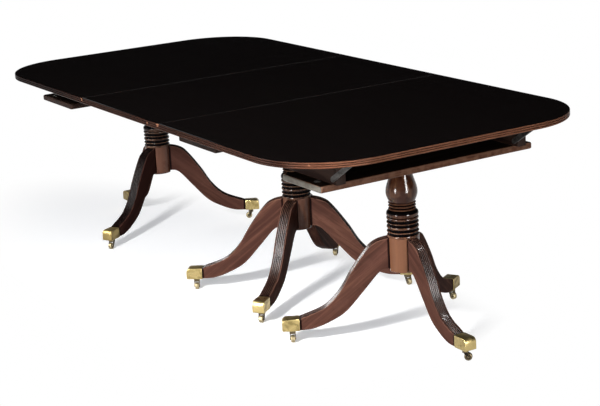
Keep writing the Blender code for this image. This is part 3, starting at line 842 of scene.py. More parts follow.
def drawn_out(name: str, rings: list[list[Vector]], stain_and_painted_light: list[float] | None = None) -> bpy.types.Object:
    """A closed solid: a filled ring of points, extruded from ring to ring.

    Args:
        name: the piece's name.
        rings: the rings, each with as many points.
        stain_and_painted_light: how strongly each point of a ring takes its finish's staining and painted shade, or
            None.

    Returns:
        The new piece.
    """
    piece = new_circle(name, len(rings[0]), "NGON")
    with editing(piece) as mesh:
        layer = mesh.verts.layers.float.new("stain_and_painted_light")
        front = list(mesh.verts)
        for number, ring in enumerate(rings):
            if number == 0:
                bpy.ops.mesh.select_all(action="SELECT")
            else:
                bpy.ops.mesh.extrude_region()
                front = [
                    next(edge.other_vert(vert) for edge in vert.link_edges if edge.other_vert(vert).select)
                    for vert in front
                ]
            for index, (vert, point) in enumerate(zip(front, ring, strict=True)):
                vert.co = point
                vert[layer] = stain_and_painted_light[index] if stain_and_painted_light else 0.0
        bpy.ops.mesh.select_all(action="SELECT")
        bpy.ops.mesh.normals_make_consistent(inside=False)
    return piece


def turned(name: str, profile: list[Point], steps: int) -> bpy.types.Object:
    """A solid of revolution about Z: an open chain of points, spun.

    Args:
        name: the piece's name.
        profile: radius and height of each point, from axis to axis, or a closed loop where it has a bore.
        steps: steps of the full turn.

    Returns:
        The new piece.
    """
    piece = new_circle(name, len(profile), "NOTHING")
    with editing(piece) as mesh:
        mesh.verts.ensure_lookup_table()
        for vert, (radius, z) in zip(mesh.verts, profile, strict=True):
            vert.co = (radius, 0.0, z)
        if profile[0][0] == 0.0:
            bpy.ops.mesh.select_all(action="DESELECT")
            bpy.ops.mesh.select_mode(type="EDGE")
            ends = {mesh.verts[0], mesh.verts[-1]}
            for edge in mesh.edges:
                edge.select_set(set(edge.verts) == ends)
            bpy.ops.mesh.delete(type="EDGE")
        bpy.ops.mesh.select_all(action="SELECT")
        bpy.ops.mesh.spin(steps=steps, angle=math.tau, center=(0, 0, 0), axis=(0, 0, 1))
        bpy.ops.mesh.select_all(action="SELECT")
        bpy.ops.mesh.remove_doubles(threshold=MERGE_DISTANCE)
        bpy.ops.mesh.normals_make_consistent(inside=False)
    return piece


def rod(name: str, radius: float, half_length: float, steps: int) -> bpy.types.Object:
    """A plain round rod about Z.

    Args:
        name: the piece's name.
        radius: its radius.
        half_length: how far it reaches up and down.
        steps: steps of the full turn.

    Returns:
        The new piece.
    """
    piece = turned(name, [(0.0, 1.0), (1.0, 1.0), (1.0, -1.0), (0.0, -1.0)], steps)
    piece.data.transform(Matrix.Diagonal((radius, radius, half_length, 1)))
    return piece


def combined(piece: bpy.types.Object, other: bpy.types.Object, operation: str) -> None:
    """Join or cut a piece with another, which is then removed.

    Args:
        piece: the piece that stays.
        other: the piece that is used up.
        operation: UNION or DIFFERENCE.
    """
    modifier = piece.modifiers.new("combine", "BOOLEAN")
    modifier.operation = operation
    modifier.solver = "EXACT"
    modifier.object = other
    make_active(piece)
    bpy.ops.object.modifier_apply(modifier=modifier.name)
    bpy.data.objects.remove(other, do_unlink=True)


def copied(master: bpy.types.Object, name: str, place: Matrix, number: int) -> bpy.types.Object:
    """A copy of a piece with its own mesh, put in its place, with its own stretch of grain.

    Args:
        master: the piece to copy.
        name: the copy's name.
        place: where it goes.
        number: its number among the copies.

    Returns:
        The copy.
    """
    make_active(master)
    bpy.ops.object.duplicate(linked=False)
    piece = bpy.context.object
    piece.name = name
    piece.data.name = name
    piece.data.transform(place)
    grain = piece.data.attributes.get("grain")
    if grain:
        for item in grain.data:
            item.vector = Vector(item.vector) + COPY_GRAIN_STEP * number
    return piece


def arc(centre: Point, radius: float, start: float, end: float, steps: int) -> list[Point]:
    """Points of an arc, with its angles in degrees.

    Args:
        centre: the arc's centre.
        radius: its radius.
        start: first angle.
        end: last angle.
        steps: number of steps between them.

    Returns:
        The points.
    """
    angles = [math.radians(start + (end - start) * step / steps) for step in range(steps + 1)]
    return [(centre[0] + radius * math.cos(angle), centre[1] + radius * math.sin(angle)) for angle in angles]


def circle(centre: Point, radius: float) -> list[Point]:
    """Points all round a circle."""
    return arc(centre, radius, 0, 360 - 360 / CIRCLE_POINTS, CIRCLE_POINTS - 1)


def clamped(value: float, low: float = 0.0, high: float = 1.0) -> float:
    """A value kept from a low end to a high end."""
    return max(low, min(high, value))


def hull_outline(points: list[Point]) -> list[Point]:
    """The convex outline round a set of points, anticlockwise.

    Args:
        points: the points.

    Returns:
        The outline.
    """
    halves = []
    for ordered in (sorted(set(points)), sorted(set(points), reverse=True)):
        chain: list[Point] = []
        for x, y in ordered:
            while len(chain) > 1:
                (ax, ay), (bx, by) = chain[-2:]
                if (bx - ax) * (y - ay) - (by - ay) * (x - ax) > STRAIGHT:
                    break
                chain.pop()
            chain.append((x, y))
        halves += chain[:-1]
    return halves


def inset_outline(outline: list[Point], distance: float) -> list[Point]:
    """An anticlockwise outline moved in on all sides.

    Args:
        outline: the points.
        distance: how far each side moves.

    Returns:
        The moved points.
    """
    moved = []
    for index, here in enumerate(outline):
        before = Vector(here) - Vector(outline[index - 1])
        after = Vector(outline[(index + 1) % len(outline)]) - Vector(here)
        first = Vector((-before.y, before.x)).normalized()
        second = Vector((-after.y, after.x)).normalized()
        step = (first + second) * (distance / (1 + first.dot(second)))
        moved.append((here[0] + step.x, here[1] + step.y))
    return moved


def slab(
    name: str, outline: list[Point], low: float, high: float, rounding: float, steps: int
) -> bpy.types.Object:
    """A flat piece with rounded edges, its outline in X and Y.

    Args:
        name: the piece's name.
        outline: the outline, anticlockwise.
        low: its lower face.
        high: its upper face.
        rounding: radius of its edges.
        steps: steps of the rounding.

    Returns:
        The new piece.
    """
    edge = [(rounding * FACE_INSET, 0.0)]
    for step in range(steps + 1):
        angle = math.pi / 2 * step / steps
        edge.append((rounding * (1 - math.sin(angle)), rounding * (1 - math.cos(angle))))
    levels = [(inset, low + rise) for inset, rise in edge]
    levels += [(inset, high - rise) for inset, rise in reversed(edge)]
    rings = [[Vector((x, y, z)) for x, y in inset_outline(outline, inset)] for inset, z in levels]
    return drawn_out(name, rings)


def mark_grain(piece: bpy.types.Object, run: GrainRun, shift: Vector) -> None:
    """Give a piece the coordinates of its wood, with X along the grain.

    Args:
        piece: the piece.
        run: which way its wood runs.
        shift: where in the plank it was cut.
    """
    layer = piece.data.attributes.new("grain", "FLOAT_VECTOR", "POINT")
    for vert, item in zip(piece.data.vertices, layer.data, strict=True):
        item.vector = run.value @ vert.co + shift


def mark_crests(piece: bpy.types.Object, full_angle: float = 30.0) -> None:
    """Note on each point how far it stands out, from 1 on an arris to -1 in a hollow, and shade the piece.

    Args:
        piece: the piece.
        full_angle: the bend in degrees that counts as a full arris.
    """
    mesh = bmesh.new()
    mesh.from_mesh(piece.data)
    layer = mesh.verts.layers.float.new("crest")
    for vert in mesh.verts:
        bend = sum(edge.calc_face_angle_signed(0.0) for edge in vert.link_edges if len(edge.link_faces) == 2)
        vert[layer] = clamped(bend / (2 * math.radians(full_angle)), -1.0)
    mesh.to_mesh(piece.data)
    mesh.free()
    make_active(piece)
    bpy.ops.object.shade_smooth_by_angle(angle=SMOOTH_ANGLE)


def every_leg() -> Iterator[tuple[int, str, str, float]]:
    """Go through the legs in order.

    Yields:
        A leg's number from 1, its pedestal, its name there and its angle in radians.
    """
    number = 0
    for side, legs in LEG_DEGREES.items():
        for leg, angle in legs.items():
            number += 1
            yield number, side, leg, math.radians(angle)


def reach_of(side: str, leg: str) -> float:
    """How far a leg's caster stands from its column's axis.

    Args:
        side: its pedestal.
        leg: its name there.

    Returns:
        The distance.
    """
    if side == "middle":
        return MIDDLE_REACH
    return OUTER_REACH if leg == "outer" else SIDE_REACH


class Wardrobe:
    """The finishes as materials, and what puts a piece in place of its solid."""

    def __init__(self, frame: dict) -> None:
        """Make every finish.
        """
        effects = Effects()
        self.nodes = frame["nodes"]
        self.materials = {finish.name: finish.material(effects) for finish in FINISHES}
        self.notes: list[str] = []

    def dress(self, piece: bpy.types.Object, node: str, slot: Slot, *finishes: Finish) -> None:
        """Give a piece its finishes, and let it stand for a solid and ride on that solid's body.

        Args:
            piece: the finished piece.
            node: the solid's name.
            slot: the record's material slot; not used.
            finishes: one finish for each material number of its faces.
        """
        for finish in finishes:
            piece.data.materials.append(self.materials[finish.name])
        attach(piece, self.nodes[node]["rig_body"])
        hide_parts(node)
        self.notes.append(f"{piece.name} stands for {node}")

    def add_to(self, piece: bpy.types.Object, node: str, finish: Finish) -> None:
        """Give a small fitting its finish and let it ride with a solid.

        Args:
            piece: the fitting.
            node: the solid that carries it.
            finish: its finish.
        """
        piece.data.materials.append(self.materials[finish.name])
        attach(piece, self.nodes[node]["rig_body"])
        self.notes.append(f"{piece.name} rides with {node}")


@dataclass
class TableTop:
    """Two D-ends and a leaf, with a reeded edge."""

    width: float = 1.190
    height: float = 0.740
    thickness: float = 0.021
    corner_radius: float = 0.280
    corner_steps: int = 36
    reed_count: int = 3
    reed_depth: float = 0.0038
    reed_steps: int = 10
    arris: float = 0.0003
    rim: float = 0.0060
    # Painted shade on the long sides of the edge, deeper towards the left end and fading round the corners.
    long_side_shade: float = 0.955
    left_end_shade: float = 0.10
    left_end_start: float = 0.25
    left_end_run: float = 0.5
    corner_shade_start: float = 0.45
    corner_shade_gain: float = 2.2
    # How much darker the hollows between the reeds are.
    hollow_darkness: float = 0.95
    hollow_sharpness: int = 3
    crest_angle: float = 22.0
    upward: float = 0.9
    downward: float = -0.99
    under_margin: float = 0.0005
    plank_step: Triple = (0.0, 0.41, 0.67)

    def edge_levels(self) -> list[tuple[float, float, float]]:
        """The edge from below upwards.

        Returns:
            For each level: inset of the reeded sides, inset of the seam, and height.
        """
        low = self.height - self.thickness
        reed = self.thickness / self.reed_count
        levels = [(self.rim, 0.0, low), (self.reed_depth, 0.0, low)]
        for number in range(self.reed_count):
            middle = low + reed * (number + 0.5)
            for step in range(1, self.reed_steps + 1):
                angle = math.pi * (step / self.reed_steps - 0.5)
                inset = self.reed_depth * (1 - math.cos(angle))
                levels.append((inset, 0.0, middle + reed / 2 * math.sin(angle)))
        levels[-1] = (self.reed_depth, self.arris, self.height)
        levels.append((self.rim, self.arris * 3, self.height))
        return levels

    def end_outline(self, depth: float, inset: float, seam_inset: float) -> list[Point]:
        """Plan of a D-end whose seam is at X = 0.

        Args:
            depth: from the seam to the end.
            inset: how far the reeded sides move in.
            seam_inset: how far the seam moves in.

        Returns:
            The outline.
        """
        half = self.width / 2 - inset
        corner_x = depth - self.corner_radius
        corner_y = self.width / 2 - self.corner_radius
        radius = self.corner_radius - inset
        near = arc((corner_x, -corner_y), radius, -90, 0, self.corner_steps)
        far = arc((corner_x, corner_y), radius, 0, 90, self.corner_steps)
        return [(seam_inset, -half), *near, *far, (seam_inset, half)]

    def section(self, node: str) -> bpy.types.Object:
        """One section of the top.

        Args:
            node: its solid.

        Returns:
            The piece.
        """
        low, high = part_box(node)
        depth = high.x - low.x
        rings = []
        for inset, seam, z in self.edge_levels():
            if node == "top_leaf":
                half = self.width / 2 - inset
                left, right = low.x + seam, high.x - seam
                outline = [(left, -half), (right, -half), (right, half), (left, half)]
            elif node == "top_right_end":
                outline = [(low.x + x, y) for x, y in self.end_outline(depth, inset, seam)]
            else:
                outline = [(high.x - x, -y) for x, y in self.end_outline(depth, inset, seam)]
            rings.append([Vector((x, y, z)) for x, y in outline])
        return drawn_out(node.replace("top", "reeded_top"), rings)

    def darken_edge(self, piece: bpy.types.Object) -> None:
        """Darken the hollows between the reeds, and paint shade on the table's long sides, deeper at the left end,
        which runs out round the corners.

        Args:
            piece: a section of the top.
        """
        straight = self.width / 2 - self.corner_radius
        for vert, stain_and_painted_light in zip(piece.data.vertices, piece.data.attributes["stain_and_painted_light"].data, strict=True):
            turn = (abs(vert.co.y) - straight) / self.corner_radius
            deeper = self.left_end_shade * clamped(-(vert.co.x + self.left_end_start) / self.left_end_run)
            corner = clamped((turn - self.corner_shade_start) * self.corner_shade_gain)
            phase = (vert.co.z - self.height + self.thickness) * self.reed_count / self.thickness % 1.0
            hollow = self.hollow_darkness * abs(2 * phase - 1) ** self.hollow_sharpness
            stain_and_painted_light.value = max((self.long_side_shade + deeper) * corner, hollow)

    def build(self, wardrobe: Wardrobe) -> None:
        """The three sections, with polish above, reeds round the sides and plain wood below.

        Args:
            wardrobe: the finishes.
        """
        for number, node in enumerate(("top_left_end", "top_leaf", "top_right_end")):
            piece = self.section(node)
            mark_grain(piece, GrainRun.ALONG_TABLE, Vector(self.plank_step) * number)
            mark_crests(piece, self.crest_angle)
            self.darken_edge(piece)
            low = self.height - self.thickness + self.under_margin
            for face in piece.data.polygons:
                if face.normal.z > self.upward:
                    face.material_index = 0
                elif face.normal.z < self.downward and face.center.z < low:
                    face.material_index = 2
                else:
                    face.material_index = 1
            wardrobe.dress(piece, node, Slot.POLISHED_MAHOGANY, TOP_POLISH, REEDED_EDGE, UNDERSIDE_WOOD)


@dataclass
class Undercarriage:
    """The platform boards with their bolts, and the bearers on them."""

    corner_radius: float = 0.010
    corner_steps: int = 8
    board_rounding: float = 0.0055
    bearer_rounding: float = 0.0022
    pivot_inset: float = 0.016
    pivot_rise: float = 0.018
    nose: float = 0.014
    bore_radius: float = 0.0043
    bore_depth: float = 0.0203
    bolt_radius: float = 0.012
    bolt_height: float = 0.0035
    near_bolt_inset: float = 0.065
    far_bolt_inset: float = 0.022
    bolt_inset_y: float = 0.033
    bolt_profile: tuple[Point, ...] = (
        (0.0, 1.0),
        (0.45, 0.97),
        (0.78, 0.78),
        (0.95, 0.42),
        (1.0, 0.12),
        (1.0, 0.0),
        (0.0, 0.0),
    )
    board_steps: int = 5
    bearer_steps: int = 2
    bore_steps: int = 24
    bolt_steps: int = 32
    level: float = 0.9
    nearward: float = -0.5
    board_plank_step: Triple = (0.3, 0.2, 0.1)
    bearer_plank_step: Triple = (0.2, 0.5, 0.4)

    def board(self, node: str) -> bpy.types.Object:
        """A platform board with a rounded edge.

        Args:
            node: its solid.

        Returns:
            The piece.
        """
        low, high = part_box(node)
        outline = []
        corners = (
            (high.x, high.y, 1, 1),
            (low.x, high.y, -1, 1),
            (low.x, low.y, -1, -1),
            (high.x, low.y, 1, -1),
        )
        for quarter, (x, y, side_x, side_y) in enumerate(corners):
            centre = (x - side_x * self.corner_radius, y - side_y * self.corner_radius)
            outline += arc(centre, self.corner_radius, 90 * quarter, 90 * quarter + 90, self.corner_steps)
        name = node.replace("platform", "platform_board")
        return slab(name, outline, low.z, high.z, self.board_rounding, self.board_steps)

    def bolt(self, name: str, x: float, y: float, z: float) -> bpy.types.Object:
        """A round bolt head on a board.

        Args:
            name: the piece's name.
            x: place along the table.
            y: place across it.
            z: the board's upper face.

        Returns:
            The piece.
        """
        profile = [(self.bolt_radius * out, self.bolt_height * up) for out, up in self.bolt_profile]
        piece = turned(name, profile, self.bolt_steps)
        piece.data.transform(Matrix.Translation((x, y, z + CLEARANCE)))
        return piece

    def bearer(self, node: str) -> bpy.types.Object:
        """A bearer with eased edges; an end bearer has a cut nose and the bore for its hinge pin.

        Args:
            node: its solid.

        Returns:
            The piece.
        """
        low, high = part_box(node)
        outline = [(low.x, low.z), (high.x, low.z), (high.x, high.z), (low.x, high.z)]
        pivot_x = None
        if "left" in node:
            pivot_x = low.x + self.pivot_inset
            outline = [*outline[:3], (pivot_x, high.z), (low.x, high.z - self.nose)]
        elif "right" in node:
            pivot_x = high.x - self.pivot_inset
            outline = [*outline[:2], (high.x, high.z - self.nose), (pivot_x, high.z), outline[3]]
        name = node.replace("bearer", "bearer_block")
        piece = slab(name, outline, -high.y, -low.y, self.bearer_rounding, self.bearer_steps)
        piece.data.transform(UPRIGHT)
        if pivot_x is not None:
            bore = rod("bore", self.bore_radius, self.bore_depth, self.bore_steps)
            bore.data.transform(UPRIGHT)
            bore.data.transform(Matrix.Translation((pivot_x, low.y, low.z - CLEARANCE + self.pivot_rise)))
            combined(piece, bore, "DIFFERENCE")
        return piece

    def build(self, wardrobe: Wardrobe) -> None:
        """Boards, bolts and bearers.

        Args:
            wardrobe: the finishes.
        """
        for number, side in enumerate(("left", "middle", "right")):
            node = f"platform_{side}"
            low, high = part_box(node)
            piece = self.board(node)
            mark_grain(piece, GrainRun.ACROSS_TABLE, Vector(self.board_plank_step) * number)
            mark_crests(piece)
            for face in piece.data.polygons:
                if abs(face.normal.z) > self.level:
                    face.material_index = 1
                # The right board's near edge takes the painted reflection.
                elif face.normal.y < self.nearward and side == "right":
                    face.material_index = 2
            # Painted shade: the left and middle boards take the near-black bearer wood, the right board brown board
            # mahogany.
            edge = BOARD_MAHOGANY if side == "right" else BEARER_WOOD
            wardrobe.dress(piece, node, Slot.PLAIN_WOOD, edge, UNDERSIDE_WOOD, BOARD_EDGE_SHEEN)
            bolts = ((low.y, 1, "near", self.near_bolt_inset), (high.y, -1, "far", self.far_bolt_inset))
            for edge_y, inward, where, inset in bolts:
                x = low.x + inset if side == "left" else high.x - inset
                bolt = self.bolt(f"board_bolt_{side}_{where}", x, edge_y + inward * self.bolt_inset_y, high.z)
                mark_crests(bolt)
                wardrobe.add_to(bolt, node, STRAP_STEEL)
            for where in ("near", "far"):
                node = f"bearer_{side}_{where}"
                piece = self.bearer(node)
                mark_grain(piece, GrainRun.ALONG_TABLE, Vector(self.bearer_plank_step) * number)
                mark_crests(piece)
                wardrobe.dress(piece, node, Slot.PLAIN_WOOD, BEARER_WOOD)


@dataclass
class HingeStraps:
    """Forged straps that the end tops tip on, with their pins and screws."""

    eye_radius: float = 0.009
    pin_radius: float = 0.004
    pin_length: float = 0.020
    thickness: float = 0.005
    foot_length: float = 0.028
    foot_width: float = 0.030
    foot_thickness: float = 0.004
    rounding: float = 0.0009
    rounding_steps: int = 2
    round_steps: int = 24
    screw_radius: float = 0.0038
    screw_profile: tuple[Point, ...] = ((0.0, -0.42), (0.6, -0.36), (0.93, -0.16), (1.0, 0.0), (0.0, 0.0))
    screw_line: float = 0.42
    screw_places: Point = (0.22, 0.68)
    screw_turn: float = 9.0
    slot_half: Point = (2.0, 0.14)
    slot_floor: float = -0.2
    slot_rounding: float = 0.02

    def strap(self, node: str) -> bpy.types.Object:
        """One strap: eye, slanting bar, foot and pin.

        Args:
            node: its solid.

        Returns:
            The piece.
        """
        low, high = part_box(node)
        if "_left_" in node:
            outward, end_x, pivot_x = -1, low.x, high.x - self.eye_radius
        else:
            outward, end_x, pivot_x = 1, high.x, low.x + self.eye_radius
        pivot_z = low.z + self.eye_radius
        face_y = high.y - self.pin_length - CLEARANCE
        back_y = face_y - self.thickness
        elbow_x = end_x - outward * self.foot_length
        bar_ends = (high.z - 2 * self.foot_thickness, high.z)
        bar_top = [(elbow_x + side * self.eye_radius, z) for side in (-1, 1) for z in bar_ends]
        outline = hull_outline([*circle((pivot_x, pivot_z), self.eye_radius), *bar_top])
        name = node.replace("hinge_strap", "steel_strap")
        piece = slab(name, outline, -face_y, -back_y, self.rounding, self.rounding_steps)
        piece.data.transform(UPRIGHT)
        near, far = face_y - self.foot_width, face_y - self.thickness / 2
        left, right = sorted((elbow_x, end_x))
        corners = [(left, near), (right, near), (right, far), (left, far)]
        foot_low = high.z - self.foot_thickness
        foot = slab("foot", corners, foot_low, high.z, self.rounding, self.rounding_steps)
        combined(piece, foot, "UNION")
        pin = rod("pin", self.pin_radius, (high.y - far) / 2, self.round_steps)
        pin.data.transform(UPRIGHT)
        pin.data.transform(Matrix.Translation((pivot_x, (far + high.y) / 2, pivot_z)))
        combined(piece, pin, "UNION")
        return piece

    def screw(self, name: str, x: float, y: float, z: float) -> bpy.types.Object:
        """A slotted screw head under a foot.

        Args:
            name: the piece's name.
            x: place along the table.
            y: place across it.
            z: the foot's lower face.

        Returns:
            The piece.
        """
        r = self.screw_radius
        head = turned(name, [(r * out, r * up) for out, up in self.screw_profile], self.round_steps)
        along, across = (r * share for share in self.slot_half)
        corners = [(-along, -across), (along, -across), (along, across), (-along, across)]
        slot = slab("slot", corners, -r, r * self.slot_floor, r * self.slot_rounding, 1)
        combined(head, slot, "DIFFERENCE")
        turn = Matrix.Rotation(x * self.screw_turn, 4, "Z")
        head.data.transform(Matrix.Translation((x, y, z - CLEARANCE)) @ turn)
        return head

    def build(self, wardrobe: Wardrobe) -> None:
        """Four straps and two screws in each foot.

        Args:
            wardrobe: the finishes.
        """
        for end, outward in (("left", -1), ("right", 1)):
            for where in ("near", "far"):
                node = f"hinge_strap_{end}_{where}"
                piece = self.strap(node)
                mark_crests(piece)
                wardrobe.dress(piece, node, Slot.STEEL, STRAP_STEEL)
                low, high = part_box(node)
                end_x = low.x if outward < 0 else high.x
                foot_y = low.y + self.foot_width * self.screw_line
                for number, share in enumerate(self.screw_places, 1):
                    x = end_x - outward * share * self.foot_length
                    z = high.z - self.foot_thickness
                    screw = self.screw(f"strap_screw_{end}_{where}_{number}", x, foot_y, z)
                    mark_crests(screw)
                    wardrobe.add_to(screw, node, STRAP_STEEL)


@dataclass
class TurnedColumn:
    """A column from its block up: collar, torus, rings, vase and flange."""

    bottom: float = 0.234
    block_height: float = 0.118
    block_radius: float = 0.054
    block_rounding: float = 0.004
    collar_height: float = 0.068
    collar_radius: float = 0.0545
    bands: tuple[float, ...] = (0.0062, 0.0034, 0.0066, 0.0034, 0.0072)
    bead: float = 0.0011
    groove_width: float = 0.0103
    groove_depth: float = 0.0065
    groove_flare: float = 0.3
    torus_height: float = 0.0232
    torus_radius: float = 0.0545
    ring_count: int = 3
    rings_height: float = 0.0313
    ring_bulge: float = 0.0025
    ring_hollow: float = 0.0050
    vase_foot_height: float = 0.0315
    vase_foot_radius: float = 0.0445
    belly_radius: float = 0.0537
    neck_radius: float = 0.037
    scotia_height: float = 0.0157
    flange_height: float = 0.012
    flange_radius: float = 0.050
    flange_lip: float = 0.004
    seat_radius: float = 0.049
    seat_top: float = 0.351
    seat_cutter_reach: float = 1.2
    seat_cutter_drop: float = 0.01
    seat_cutter_rounding: float = 0.0002
    ease: float = 0.0007
    steps: int = 96
    scotia_steps: int = 8
    vase_steps: int = 20
    vase_foot_steps: int = 8
    ring_steps: int = 6
    torus_steps: int = 12
    band_steps: int = 6
    rounding_steps: int = 4
    # How pale each block is: lighter wood, and painted light, strongest on the right column.
    block_pale_wood_and_light: tuple[float, ...] = (0.5, 0.5, 0.75)
    pale_margin: float = 0.0005
    # Where the painted shade in the grooves, hollows and on the torus begins.
    shade_margin: float = 0.001
    shaded_groove: float = 0.6
    shaded_ring: float = 0.1
    shaded_torus: float = 0.6
    shade_limit: float = -0.99
    plank_step: Triple = (0.7, 0.31, 0.53)

    def profile(self, top: float) -> list[Point]:
        """Half the outline, from the axis at the top round to the axis at the foot.

        Args:
            top: the column's top.

        Returns:
            Radius and height of each point.
        """
        ease = self.ease
        flange_low = top - self.flange_height
        neck_z = flange_low - self.scotia_height
        block_top = self.bottom + self.block_height
        collar_top = block_top + self.collar_height
        torus_top = collar_top + self.torus_height
        rings_top = torus_top + self.rings_height
        belly_z = rings_top + self.vase_foot_height
        r = self.flange_radius
        points = [(0.0, top), (r - ease, top), (r, top - ease), (r, flange_low + ease), (r - ease, flange_low)]
        start = r - self.flange_lip
        for step in range(self.scotia_steps + 1):
            share = step / self.scotia_steps
            hollow = 1 - math.sin(share * math.pi / 2)
            radius = self.neck_radius + (start - self.neck_radius) * hollow
            points.append((radius, flange_low - self.scotia_height * share))
        for step in range(1, self.vase_steps + 1):
            share = step / self.vase_steps
            swell = share * share * (3 - 2 * share)
            radius = self.neck_radius + (self.belly_radius - self.neck_radius) * swell
            points.append((radius, neck_z + (belly_z - neck_z) * share))
        for step in range(1, self.vase_foot_steps + 1):
            share = step / self.vase_foot_steps
            swell = math.cos(share * math.pi / 2)
            radius = self.vase_foot_radius + (self.belly_radius - self.vase_foot_radius) * swell
            points.append((radius, belly_z - self.vase_foot_height * share))
        ring = self.rings_height / self.ring_count
        for number in range(self.ring_count):
            for step in range(1, self.ring_steps + 1):
                share = step / self.ring_steps
                bulge = (self.ring_bulge + self.ring_hollow) * abs(math.sin(share * math.pi))
                radius = self.vase_foot_radius - self.ring_hollow + bulge
                points.append((radius, rings_top - ring * (number + share)))
        for step in range(1, self.torus_steps):
            share = step / self.torus_steps
            bulge = math.sqrt(1 - (2 * share - 1) ** 2)
            radius = self.vase_foot_radius + (self.torus_radius - self.vase_foot_radius) * bulge
            points.append((radius, torus_top - self.torus_height * share))
        r = self.collar_radius
        z = collar_top
        for band in self.bands:
            groove = r - self.groove_depth
            points += [(groove, z + self.groove_width * self.groove_flare), (groove, z)]
            for step in range(self.band_steps + 1):
                round_off = self.bead * (1 - math.sin(step / self.band_steps * math.pi))
                points.append((r - round_off, z - band * step / self.band_steps))
            points.append((groove, z - band))
            z -= band + self.groove_width
        points += [(self.block_radius - ease, block_top), (self.block_radius, block_top - ease)]
        r = self.block_rounding
        points += arc((self.block_radius - r, self.bottom + r), r, 0, -90, self.rounding_steps)
        return [*points, (0.0, self.bottom)]

    def cut_seat(self, piece: bpy.types.Object, angle: float) -> None:
        """Cut a flat on the block for a leg.

        Args:
            piece: a column about the Z axis.
            angle: where the leg stands, in radians.
        """
        inner, half = self.seat_radius, self.block_radius
        outer = half * self.seat_cutter_reach
        corners = [(inner, -half), (outer, -half), (outer, half), (inner, half)]
        low, high = self.bottom - self.seat_cutter_drop, self.seat_top + CLEARANCE
        flat = slab("flat", corners, low, high, self.seat_cutter_rounding, 1)
        flat.data.transform(Matrix.Rotation(angle, 4, "Z"))
        combined(piece, flat, "DIFFERENCE")

    def mark_groove_shade(self, piece: bpy.types.Object) -> None:
        """Mark the collar's grooves, the rings' hollows and the torus's upper side for painted shade, near black.

        Args:
            piece: a column about the Z axis.
        """
        collar_low = self.bottom + self.block_height
        collar_high = collar_low + self.collar_height + self.shade_margin
        torus_high = collar_high + self.torus_height
        rings_high = torus_high + self.rings_height
        torus_low = collar_high + self.torus_height * self.shaded_torus
        groove_radius = self.collar_radius - self.groove_depth * self.shaded_groove
        hollow_radius = self.vase_foot_radius - self.ring_hollow * self.shaded_ring
        crests = piece.data.attributes["crest"].data
        for vert, crest in zip(piece.data.vertices, crests, strict=True):
            radius, z = math.hypot(vert.co.x, vert.co.y), vert.co.z
            in_collar = collar_low + self.shade_margin < z < collar_high and radius < groove_radius
            in_rings = collar_high < z < rings_high and radius < hollow_radius
            on_torus = torus_low < z < torus_high
            if in_collar or in_rings or on_torus:
                crest.value = -1.0
        for face in piece.data.polygons:
            shaded = all(crests[index].value < self.shade_limit for index in face.vertices)
            face.material_index = int(shaded)

    def build(self, wardrobe: Wardrobe) -> None:
        """The three columns, each with a flat on its block for every leg.

        Args:
            wardrobe: the finishes.
        """
        for number, (side, legs) in enumerate(LEG_DEGREES.items()):
            node = f"column_{side}"
            piece = turned(f"turned_column_{side}", self.profile(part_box(node)[1].z), self.steps)
            for angle in legs.values():
                self.cut_seat(piece, math.radians(angle))
            mark_grain(piece, GrainRun.UPRIGHT, Vector(self.plank_step) * number)
            mark_crests(piece)
            self.mark_groove_shade(piece)
            pale_top = self.seat_top + self.pale_margin
            # The block is paler: lighter wood, partly painted light.
            for vert, stain_and_painted_light in zip(piece.data.vertices, piece.data.attributes["stain_and_painted_light"].data, strict=True):
                stain_and_painted_light.value = self.block_pale_wood_and_light[number] if vert.co.z < pale_top else 0.0
            piece.data.transform(Matrix.Translation((COLUMN_X[side], 0, 0)))
            # Painted shade: the left and middle columns take the darker copy.
            wood = COLUMN_MAHOGANY if side == "right" else SHADED_COLUMN
            wardrobe.dress(piece, node, Slot.MAHOGANY, wood, GROOVE_SHADE)


def smooth_path(points: list[Point], count: int) -> list[Vector]:
    """Points evenly along a smooth curve through others.

    Args:
        points: where the curve passes.
        count: number of points to give.

    Returns:
        The points.
    """
    known = [Vector(point) for point in points]
    padded = [known[0] * 2 - known[1], *known, known[-1] * 2 - known[-2]]
    fine = []
    for before, start, end, after in zip(padded, padded[1:], padded[2:], padded[3:]):
        span = (end - start).length
        leave = (end - before) / max(span + (start - before).length, TINY) * span
        arrive = (after - start) / max((after - end).length + span, TINY) * span
        for step in range(PATH_STEPS):
            t = step / PATH_STEPS
            fine.append(
                start * (2 * t**3 - 3 * t**2 + 1)
                + leave * (t**3 - 2 * t**2 + t)
                + end * (3 * t**2 - 2 * t**3)
                + arrive * (t**3 - t**2)
            )
    fine.append(known[-1])
    lengths = [0.0]
    for first, second in zip(fine, fine[1:]):
        lengths.append(lengths[-1] + (second - first).length)
    spread, index = [], 0
    for number in range(count):
        want = lengths[-1] * number / (count - 1)
        while index < len(fine) - 2 and lengths[index + 1] < want:
            index += 1
        share = (want - lengths[index]) / max(lengths[index + 1] - lengths[index], TINY)
        spread.append(fine[index].lerp(fine[index + 1], min(share, 1.0)))
    return spread


